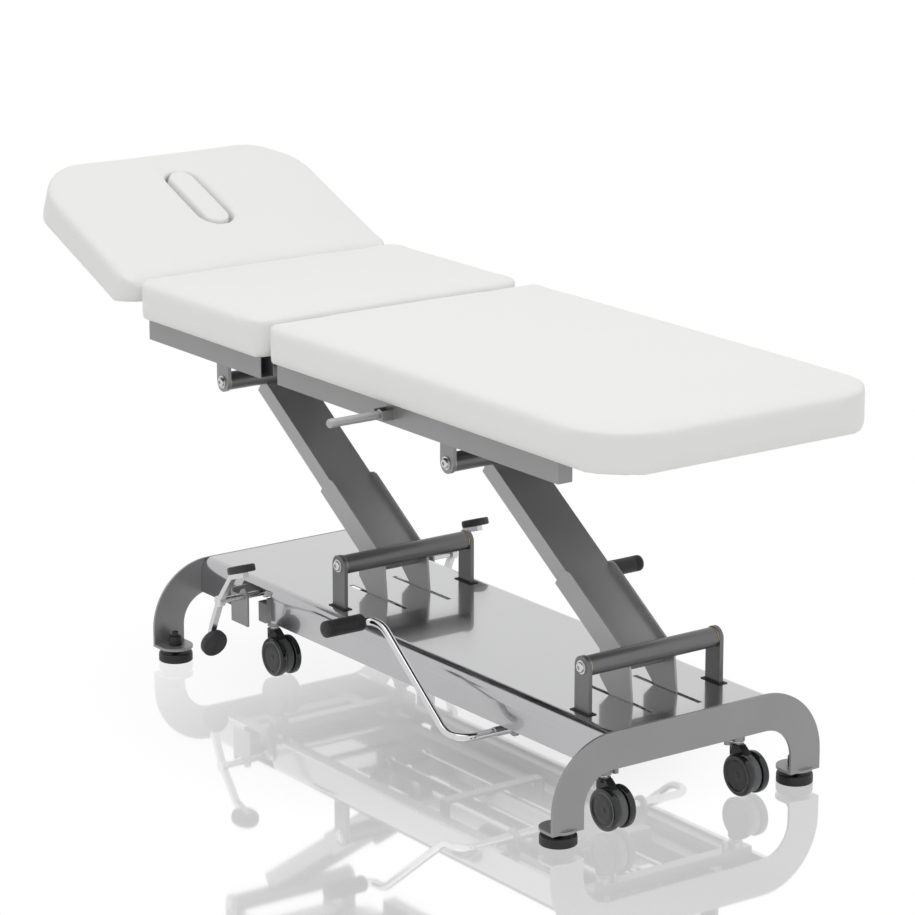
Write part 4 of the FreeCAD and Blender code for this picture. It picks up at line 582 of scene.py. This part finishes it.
def start_form(mesh, form, upholstery):
    """Draw the sides in, crown the top and leave slack for the cover to swell."""
    points = points_of(mesh) - normals_of(mesh) * upholstery.slack
    along, across, up = form.shares(points)
    points[:, 1] -= np.sign(across) * upholstery.side_pull * np.abs(across) ** 4 * (1 - along**4)
    points[:, 0] -= np.sign(along) * upholstery.side_pull * np.abs(along) ** 8 * (1 - across**4) * 0.5
    crown = (1 - np.clip(np.abs(along), 0, 1) ** 6) * (1 - np.clip(np.abs(across), 0, 1) ** 4)
    points[:, 2] += upholstery.crown * crown * np.clip(up, 0, 1)
    rests = up < BOARD
    points[rests, 2] = form.low[2]
    set_points(mesh, points)
    return rests


def stuff(cushions, upholstery):
    """Let the covers swell round their stuffing, all in one run."""
    starts = {}
    for piece, _, rests in cushions:
        starts[piece] = points_of(piece.data).copy()
        seat = piece.vertex_groups.new(name="seat")
        seat.add([int(i) for i in np.flatnonzero(rests)], 1.0, "REPLACE")
        cloth = piece.modifiers.new("Cover", "CLOTH")
        for key, value in SWELL_SETTINGS.items():
            setattr(cloth.settings, key, value)
        cloth.settings.uniform_pressure_force = upholstery.pressure
        cloth.settings.effector_weights.gravity = 0
        cloth.collision_settings.use_collision = False
    for step in range(1, SWELL_STEPS + 1):
        bpy.context.scene.frame_set(step)
    for piece, form, rests in cushions:
        take_shape(piece)
        start = starts[piece]
        moved = points_of(piece.data) - start
        size = np.linalg.norm(moved, axis=1, keepdims=True)
        moved *= np.minimum(1, upholstery.swell / np.maximum(size, 1e-9))
        points = start + moved
        points[rests, 2] = form.low[2]
        points[:, 2] = np.maximum(points[:, 2], form.low[2])
        set_points(piece.data, points)
    bpy.context.scene.frame_set(1)


def smooth_cover(piece, rests, rounds=3):
    """Take the ripples of the mesh out of a cover."""
    bm = bmesh.new()
    bm.from_mesh(piece.data)
    bm.verts.ensure_lookup_table()
    loose = [vert for vert, held in zip(bm.verts, rests) if not held]
    for _ in range(rounds):
        bmesh.ops.smooth_vert(
            bm, verts=loose, factor=0.5, use_axis_x=True, use_axis_y=True, use_axis_z=True
        )
    bm.to_mesh(piece.data)
    bm.free()


def dress_cushion(piece, node, form, upholstery):
    """Give a stuffed cushion its lining, its corner creases, its place and its finish."""
    mesh = piece.data
    points = points_of(mesh)
    along, across, up = form.shares(points)
    near_corner = np.clip(1 - form.inside_outline(points) / CREASE_REACH, 0, 1)
    corner = np.clip(np.abs(along) * np.abs(across) * 6 - 4.6, 0, 1) * near_corner
    corner *= np.clip(1 - np.abs(up) ** 2, 0, 1)
    crease = mesh.attributes.new("corner", "FLOAT", "POINT")
    crease.data.foreach_set("value", corner.astype(np.float32))
    mesh.materials.clear()
    mesh.materials.append(PAINTS["upholstery"])
    mesh.materials.append(PAINTS["lining"])
    centres = np.empty(len(mesh.polygons) * 3)
    mesh.polygons.foreach_get("center", centres)
    centres = centres.reshape(-1, 3)
    flat = centres[:, 2] < form.low[2] + UNDERSIDE
    under = flat & (form.inside_outline(centres) > upholstery.border)
    mesh.polygons.foreach_set("material_index", under.astype(np.int32))
    mesh.transform(laid_flat(node).inverted())
    mesh.shade_smooth()
    smoother = piece.modifiers.new("Smooth", "SUBSURF")
    smoother.levels = 1
    smoother.render_levels = 1
    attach(piece, frame["nodes"][node]["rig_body"])
    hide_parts(node)


class THERAPY_OT_cushions(bpy.types.Operator):
    """Make the three cushions and the face plug as stuffed vinyl covers"""

    bl_idname = "therapy.cushions"
    bl_label = "Cushions and face plug"

    def execute(self, context):
        upholstery = context.scene.therapy_upholstery
        cushions = []
        for node, corners in CORNERS.items():
            plug = node == "face_plug"
            piece = cover_of(node, upholstery.plug_skin if plug else upholstery.skin)
            form = CushionForm(piece.data, corners)
            shape = plug_form if plug else start_form
            cushions.append((piece, form, shape(piece.data, form, upholstery)))
        stuff(cushions, upholstery)
        for node, (piece, form, rests) in zip(CORNERS, cushions):
            smooth_cover(piece, rests)
            dress_cushion(piece, node, form, upholstery)
        return {"FINISHED"}


def plug_form(mesh, form, upholstery):
    """The plug keeps its walls clear of the slot and has a low crown."""
    points = points_of(mesh) - normals_of(mesh) * PLUG_SLACK
    along, across, up = form.shares(points)
    points[:, 2] += PLUG_CROWN * (1 - np.clip(np.abs(across), 0, 1) ** 3) * np.clip(up, 0, 1) ** 4
    rests = up < BOARD
    points[rests, 2] = form.low[2]
    set_points(mesh, points)
    return (np.abs(up) < PLUG_WALL) | rests


# Metalwork.


# The lower brackets and cross tubes take the darker pivot paint as painted shade.
SHADED_PIVOT_NODES = ("lower_brackets", "foot_arm_tubes", "head_arm_tubes")
# Where an arm's upper face meets its cross tube: along the arm and out of it, from the pivot.
ARM_SEAM = (0.0188, -0.0086)
BEAD_RADIUS = 0.003


class THERAPY_OT_finishes(bpy.types.Operator):
    """Mix the finishes and give every solid of the table its own"""

    bl_idname = "therapy.finishes"
    bl_label = "Paint and plating"

    def execute(self, context):
        mix_paints(context.scene.therapy_colours)
        for node, solid in frame["nodes"].items():
            for slot in solid.material_slots:
                # Painted shade: the lower brackets and cross tubes get the darker copy of the frame paint.
                slot.material = PAINTS["pivot_paint" if node in SHADED_PIVOT_NODES else SLOT_OF[node]]
        return {"FINISHED"}


class THERAPY_OT_welds(bpy.types.Operator):
    """Lay the weld runs between the arms and their cross tubes"""

    bl_idname = "therapy.welds"
    bl_label = "Weld runs"

    def execute(self, context):
        beads = context.scene.therapy_fittings.weld_beads
        low, high, _ = pieces_box("foot_arm_box")
        foot, upper = joint_place("lift_arm_turn"), joint_place("lift_frame_turn")
        rise = (upper - foot).normalized()
        out = Vector((rise.z, 0, -rise.x))
        for end, pivot in (("foot", foot), ("head", joint_place("head_arm_turn"))):
            seam = pivot + rise * ARM_SEAM[0] + out * ARM_SEAM[1]
            bm = bmesh.new()
            for bead in range(beads):
                across = low.y + (high.y - low.y) * (bead + 0.5) / beads
                lump = bmesh.ops.create_icosphere(bm, subdivisions=2, radius=BEAD_RADIUS)["verts"]
                bmesh.ops.scale(bm, verts=lump, vec=(1.0, 1.6, 1.0))
                bmesh.ops.translate(bm, verts=lump, vec=(seam.x, across, seam.z))
            # The beads take the lighter copy of the frame paint, painted light like the arms.
            settle(bm, f"{end}_arm_weld", ["arm_paint"], f"{end}_arm")
        return {"FINISHED"}


# Casters, feet, grips and pedals.


class THERAPY_OT_casters(bpy.types.Operator):
    """Make the four pairs of caster wheels"""

    bl_idname = "therapy.casters"
    bl_label = "Caster wheels"

    def execute(self, context):
        for end in ENDS:
            for side in SIDES:
                name = f"{end}_{side}"
                centre = joint_place(f"caster_roll_{name}")
                bm = bmesh.new()
                for direction in (-1, 1):
                    spun(bm, WHEEL_PROFILE, centre, ACROSS * direction, 72, wheel_finish)
                wheels = f"caster_wheels_{name}"
                settle(bm, f"wheels_{name}", ["wheel_plastic", "wheel_disc"], wheels, wheels)
                strip = bmesh.new()
                spun(strip, FORK_STRIP, centre, ACROSS, 72)
                settle(strip, f"fork_strip_{name}", ["fork_strip"], f"caster_fork_{name}")
                swivel = joint_place(f"caster_swivel_{name}")
                sleeve = bmesh.new()
                spun(sleeve, STEM_SLEEVE, Vector((swivel.x, swivel.y, centre.z)), UP, 48)
                settle(sleeve, f"stem_sleeve_{name}", ["bright_steel"], f"caster_fork_{name}")
        return {"FINISHED"}


# Half section of one wheel, (radius, distance from the middle of the pair).
WHEEL_PROFILE = [
    (0.0, 0.0222),
    (0.0050, 0.0222),
    (0.0062, 0.0217),
    (0.0066, 0.0214),
    (0.0150, 0.0218),
    (0.0262, 0.0221),
    (0.0272, 0.0215),
    (0.0280, 0.0216),
    (0.0288, 0.0227),
    (0.0300, 0.0233),
    (0.0335, 0.0235),
    (0.0362, 0.0228),
    (0.0378, 0.0214),
    (0.0384, 0.0198),
    (0.0385, 0.0180),
    (0.0385, 0.0135),
    (0.0382, 0.0115),
    (0.0370, 0.0102),
    (0.0350, 0.0096),
    (0.0300, 0.0095),
    (0.0290, 0.0101),
    (0.0041, 0.0101),
]
DISC_RADIUS = 0.0278
DISC_INNER = 0.018
# Ring section of the strip round the fork between the wheels.
FORK_STRIP = [
    (0.0326, -0.0078),
    (0.0341, -0.0074),
    (0.0347, -0.0060),
    (0.0347, 0.0060),
    (0.0341, 0.0074),
    (0.0326, 0.0078),
    (0.0326, -0.0078),
]
# Plated sleeve round the stem above a fork: (radius, height over the wheel axle).
STEM_SLEEVE = [
    (0.0056, 0.0487),
    (0.0086, 0.0487),
    (0.0090, 0.0491),
    (0.0090, 0.0499),
    (0.0086, 0.0503),
    (0.0068, 0.0505),
    (0.0066, 0.0540),
    (0.0056, 0.0542),
    (0.0056, 0.0487),
]


def wheel_finish(radius, along):
    return 1 if radius < DISC_RADIUS and along > DISC_INNER else 0


class THERAPY_OT_handle(bpy.types.Operator):
    """Make the painted release handle with its rubber collar"""

    bl_idname = "therapy.handle"
    bl_label = "Release handle"

    def execute(self, context):
        low, high, middle = pieces_box("release_handle")
        collar = (high.z - low.z) / 2
        reach = high.y - low.y
        bm = bmesh.new()
        root = Vector((middle.x, high.y, middle.z))
        spun(bm, handle_profile(collar, reach), root, -ACROSS, 48, handle_finish)
        # The tube takes the lighter copy of the frame paint, painted light like the arms.
        settle(bm, "release_lever", ["arm_paint", "black_plastic"], "release_handle", "release_handle")
        return {"FINISHED"}


HANDLE_COLLAR = 0.012


def handle_profile(collar, reach):
    """Half section of the handle: a collar, a tube and a round end."""
    tube, cap = 0.0078, 0.0085
    return [
        (0.0, 0.0),
        (collar - 0.0015, 0.0),
        (collar, 0.0015),
        (collar, HANDLE_COLLAR - 0.0015),
        (collar - 0.0012, HANDLE_COLLAR),
        (tube, HANDLE_COLLAR + 0.0002),
        (tube, reach - 0.016),
        (cap, reach - 0.0152),
        (cap, reach - 0.005),
        (cap - 0.0008, reach - 0.0025),
        (cap - 0.0026, reach - 0.0008),
        (cap - 0.005, reach),
        (0.0, reach),
    ]


def handle_finish(radius, along):
    return 1 if along < HANDLE_COLLAR else 0


# Grips: the rod inside, how far it reaches in, and the ring grooves at both ends.
GRIP_BORE = 0.0077
GRIP_ON_ROD = 0.06
RING_PITCH = 0.004
RING_DEPTH = 0.0009
RING_INSET = 0.007


class THERAPY_OT_grips(bpy.types.Operator):
    """Make the two rubber grips of the pump lever"""

    bl_idname = "therapy.grips"
    bl_label = "Pump grips"

    def execute(self, context):
        rings = context.scene.therapy_fittings.grip_rings
        low, high, middle = pieces_box("pump_grips")
        radius = (high.x - low.x) / 2
        inner = (pieces_box("pump_levers")[1].y - middle.y) - GRIP_ON_ROD
        outer = high.y - middle.y
        bm = bmesh.new()
        for direction in (-1, 1):
            profile = grip_profile(radius, inner, outer, rings)
            spun(bm, profile, middle, ACROSS * direction, 56)
        settle(bm, "rubber_grips", ["black_rubber"], "pump_lever", "pump_grips")
        return {"FINISHED"}


def grip_profile(radius, inner, outer, rings):
    """Half section of a grip: a collar, a body with ring grooves and a domed end."""
    points = [
        (GRIP_BORE, inner),
        (radius - 0.004, inner),
        (radius - 0.0012, inner + 0.0012),
        (radius, inner + 0.004),
    ]
    for start in (inner + RING_INSET, outer - RING_INSET - rings * RING_PITCH):
        for ring in range(rings):
            at = start + ring * RING_PITCH
            points += [
                (radius, at),
                (radius - RING_DEPTH, at + 0.0005),
                (radius - RING_DEPTH, at + 0.0013),
                (radius, at + 0.0018),
            ]
    points += [
        (radius, outer - 0.0055),
        (radius - 0.0010, outer - 0.0026),
        (radius - 0.0032, outer - 0.0008),
        (radius - 0.0065, outer),
        (0.0030, outer),
        (0.0022, outer - 0.0008),
        (0.0, outer - 0.0008),
    ]
    return points


class THERAPY_OT_pedals(bpy.types.Operator):
    """Make the four ribbed pads of the pedals"""

    bl_idname = "therapy.pedals"
    bl_label = "Pedal pads"

    def execute(self, context):
        rings = context.scene.therapy_fittings.pad_rings
        pivot = joint_place("pedal_turn")
        low, high, middle = pieces_box("pedal_pads")
        plane = (high.y - low.y) / 2 - PAD_RADIUS
        bm = bmesh.new()
        for across in (-plane, plane):
            for reach, rise, lean in PEDAL_PADS:
                centre = Vector((pivot.x + reach, middle.y + across, pivot.z + rise))
                axis = Vector((math.sin(math.radians(lean)), 0, math.cos(math.radians(lean))))
                spun(bm, pad_profile(rings), centre, axis, 56)
        settle(bm, "pedal_rubbers", ["pad_rubber"], "pedals", "pedal_pads")
        return {"FINISHED"}


PAD_RADIUS = 0.027
PAD_HALF = 0.007
# Along, up and lean of the upper and the lower pad from the pedal axle.
PEDAL_PADS = [(0.078, 0.083, -18.0), (-0.025, -0.091, 108.0)]


def pad_profile(rings):
    """Half section of a pad: a ridged face, round shoulders and a plain back."""
    points = [(0.0, PAD_HALF - 0.0006)]
    pitch = (PAD_RADIUS - 0.004) / rings
    for ring in range(rings):
        at = 0.001 + ring * pitch
        points += [
            (at, PAD_HALF - 0.0008),
            (at + pitch * 0.25, PAD_HALF),
            (at + pitch * 0.65, PAD_HALF),
            (at + pitch * 0.9, PAD_HALF - 0.0008),
        ]
    points += [
        (PAD_RADIUS - 0.0028, PAD_HALF),
        (PAD_RADIUS - 0.0009, PAD_HALF - 0.0009),
        (PAD_RADIUS, PAD_HALF - 0.003),
        (PAD_RADIUS, -PAD_HALF + 0.0025),
        (PAD_RADIUS - 0.001, -PAD_HALF + 0.0006),
        (PAD_RADIUS - 0.0025, -PAD_HALF),
        (0.0, -PAD_HALF),
    ]
    return points


class THERAPY_OT_feet(bpy.types.Operator):
    """Make the rubber rims of the four levelling feet"""

    bl_idname = "therapy.feet"
    bl_label = "Foot rims"

    def execute(self, context):
        for end in ENDS:
            for side in SIDES:
                node = f"leveller_{end}_{side}"
                low, high, middle = pieces_box(node)
                radius = (high.x - low.x) / 2
                bm = bmesh.new()
                base = Vector((middle.x, middle.y, low.z))
                spun(bm, foot_rim_profile(radius), base, UP, 72)
                settle(bm, f"foot_rim_{end}_{side}", ["black_rubber"], node)
        return {"FINISHED"}


def foot_rim_profile(radius):
    """Half section of a rim moulded round the foot pad, with a groove in its side."""
    return [
        (radius - 0.003, 0.0004),
        (radius - 0.0006, 0.0006),
        (radius + 0.0003, 0.0016),
        (radius + 0.0003, 0.0060),
        (radius - 0.0002, 0.0064),
        (radius - 0.0002, 0.0070),
        (radius + 0.0003, 0.0074),
        (radius + 0.0003, 0.0128),
        (radius - 0.0004, 0.0146),
        (radius - 0.0020, 0.0150),
        (radius - 0.003, 0.0142),
        (radius - 0.003, 0.0004),
    ]


# Stage.


CAMERA_PLACE = Vector((5.5208, -3.8772, 2.2872))
CAMERA_TARGET = Vector((0.1347, -0.0022, 0.5166))
CAMERA_SHIFT = (0.00667, -0.0058)
SENSOR_WIDTH = 36.0
VIEW_DEPTH = 100.0
# Each lamp's place, what it looks at and its size.
LAMPS = {
    "top": ((0.4, -0.4, 3.4), (0.0, 0.0, 0.4), (3.2, 2.6)),
    "foot": ((4.6, 0.4, 1.1), (0.0, 0.0, 0.45), (2.4, 1.6)),
    "side": ((1.2, -4.2, 1.9), (0.0, 0.0, 0.5), (2.4, 1.6)),
}
WHITE = (1, 1, 1, 1)
FLOOR_SIZE = 30.0
# How white the floor looks beside the table, how much less at its foot end, and where that turns.
NEAR_WHITE = 0.88
FOOT_SHADE = 0.42
FOOT_TURN = (-0.4, 0.7)
# The shaded patch is an oval, and fades to plain white between these distances.
OVAL = 0.64
FADE = (0.25, 0.68)
# The polish is strongest round this point and fades with the square of the distance.
POLISH = 0.47
POLISH_DROP = 0.36
POLISH_CENTRE = (0.8, -0.1)
POLISH_FADE = (0.02, 1.9)


def floor_finish(floor):
    """Polished pale floor: shaded near the table, plain white away from it."""
    paint = Paint("studio_floor")
    along, across = paint.parts("ShaderNodeSeparateXYZ", "X", "Y", Vector=paint.place)
    camera, glossy = paint.parts("ShaderNodeLightPath", "Is Camera Ray", "Is Glossy Ray")
    haze = paint.noise(3.0, 2.0)
    away = (along * along * OVAL + across * across).root()
    near_white = NEAR_WHITE - along.step(*FOOT_TURN) * FOOT_SHADE
    plain = near_white + (1 - near_white) * away.step(*FADE)
    aside, beside = along - POLISH_CENTRE[0], across - POLISH_CENTRE[1]
    spread = aside * aside + beside * beside
    mirror = (POLISH - spread.step(*POLISH_FADE) * POLISH_DROP) * (0.94 + haze * 0.12)
    shaded = paint.add("ShaderNodeBsdfDiffuse", sockets={"Color": (*floor, 1), "Roughness": 0.0})
    white = paint.add("ShaderNodeEmission", sockets={"Color": WHITE, "Strength": 1.0})
    gloss = paint.add("ShaderNodeBsdfGlossy", sockets={"Color": WHITE, "Roughness": 0.04})
    seen = plain * camera.greater(glossy)
    ground = paint.add("ShaderNodeMixShader", sockets={0: seen, 1: shaded, 2: white})
    top = paint.add("ShaderNodeMixShader", sockets={0: mirror, 1: ground, 2: gloss})
    paint.add("ShaderNodeOutputMaterial", sockets={"Surface": top})
    return paint.material


def studio_room(level):
    """Even light all round, seen as plain white."""
    world = bpy.data.worlds.new("studio_room")
    room = Nodes(world)
    camera, glossy, through = room.parts(
        "ShaderNodeLightPath", "Is Camera Ray", "Is Glossy Ray", "Is Transmission Ray"
    )
    light = room.add("ShaderNodeBackground", sockets={"Color": WHITE, "Strength": level})
    plain = room.add("ShaderNodeBackground", sockets={"Color": WHITE, "Strength": 1.0})
    seen = camera.greater(glossy).greater(through)
    mixed = room.add("ShaderNodeMixShader", sockets={0: seen, 1: light, 2: plain})
    room.add("ShaderNodeOutputWorld", sockets={"Surface": mixed})
    return world


def lamp(name, place, target, size, power):
    """Rectangular lamp at a place, turned to its target."""
    light = bpy.data.lights.new(name, "AREA")
    light.shape = "RECTANGLE"
    light.size, light.size_y = size
    light.energy = power
    holder = bpy.data.objects.new(name, light)
    bpy.context.scene.collection.objects.link(holder)
    holder.location = place
    holder.rotation_euler = (Vector(target) - Vector(place)).to_track_quat("-Z", "Y").to_euler()


def lay_floor(colour_of_floor):
    """Flat floor under the table."""
    bm = bmesh.new()
    bmesh.ops.create_grid(bm, x_segments=8, y_segments=8, size=FLOOR_SIZE)
    mesh = bpy.data.meshes.new("studio_floor")
    bm.to_mesh(mesh)
    bm.free()
    mesh.materials.append(floor_finish(colour_of_floor))
    floor = bpy.data.objects.new("studio_floor", mesh)
    bpy.context.scene.collection.objects.link(floor)


def set_camera(lens):
    """Camera at the near foot corner, a little above the top."""
    camera = bpy.data.cameras.new("camera")
    camera.sensor_width = SENSOR_WIDTH
    camera.lens = lens
    camera.shift_x, camera.shift_y = CAMERA_SHIFT
    camera.clip_end = VIEW_DEPTH
    viewer = bpy.data.objects.new("camera", camera)
    bpy.context.scene.collection.objects.link(viewer)
    viewer.location = CAMERA_PLACE
    viewer.rotation_euler = (CAMERA_TARGET - CAMERA_PLACE).to_track_quat("-Z", "Y").to_euler()
    bpy.context.scene.camera = viewer


class THERAPY_OT_stage(bpy.types.Operator):
    """Set up the floor, the lamps, the room and the camera"""

    bl_idname = "therapy.stage"
    bl_label = "Stage"

    def execute(self, context):
        scene = context.scene
        stage = scene.therapy_stage
        lay_floor(stage.floor)
        scene.world = studio_room(stage.room_light)
        for name, (place, target, size) in LAMPS.items():
            lamp(f"{name}_lamp", place, target, size, getattr(stage, f"{name}_light"))
        set_camera(stage.lens)
        scene.view_settings.view_transform = "Standard"
        return {"FINISHED"}


class THERAPY_PT_table(bpy.types.Panel):
    """Lists the pieces of the table"""

    bl_idname = "THERAPY_PT_table"
    bl_label = "Therapy Table"
    bl_space_type = "VIEW_3D"
    bl_region_type = "UI"
    bl_category = "Therapy Table"

    def draw(self, context):
        for group_name, group in GROUPS.items():
            settings = getattr(context.scene, group_name)
            rows = self.layout.box()
            rows.label(text=group.__doc__)
            for prop in group.__annotations__:
                rows.prop(settings, prop)
        for operator in OPERATORS:
            self.layout.operator(operator.bl_idname)


OPERATORS = (
    THERAPY_OT_finishes,
    THERAPY_OT_cushions,
    THERAPY_OT_casters,
    THERAPY_OT_handle,
    THERAPY_OT_grips,
    THERAPY_OT_pedals,
    THERAPY_OT_feet,
    THERAPY_OT_welds,
    THERAPY_OT_stage,
)


def register():
    for group_name, group in GROUPS.items():
        bpy.utils.register_class(group)
        setattr(bpy.types.Scene, group_name, PointerProperty(type=group))
    for operator in OPERATORS:
        bpy.utils.register_class(operator)
    bpy.utils.register_class(THERAPY_PT_table)


def unregister():
    bpy.utils.unregister_class(THERAPY_PT_table)
    for operator in reversed(OPERATORS):
        bpy.utils.unregister_class(operator)
    for group_name, group in GROUPS.items():
        delattr(bpy.types.Scene, group_name)
        bpy.utils.unregister_class(group)


def main():
    register()
    bpy.ops.therapy.finishes()
    bpy.ops.therapy.cushions()
    bpy.ops.therapy.casters()
    bpy.ops.therapy.handle()
    bpy.ops.therapy.grips()
    bpy.ops.therapy.pedals()
    bpy.ops.therapy.feet()
    bpy.ops.therapy.welds()
    bpy.ops.therapy.stage()


if __name__ == "__main__":
    main()
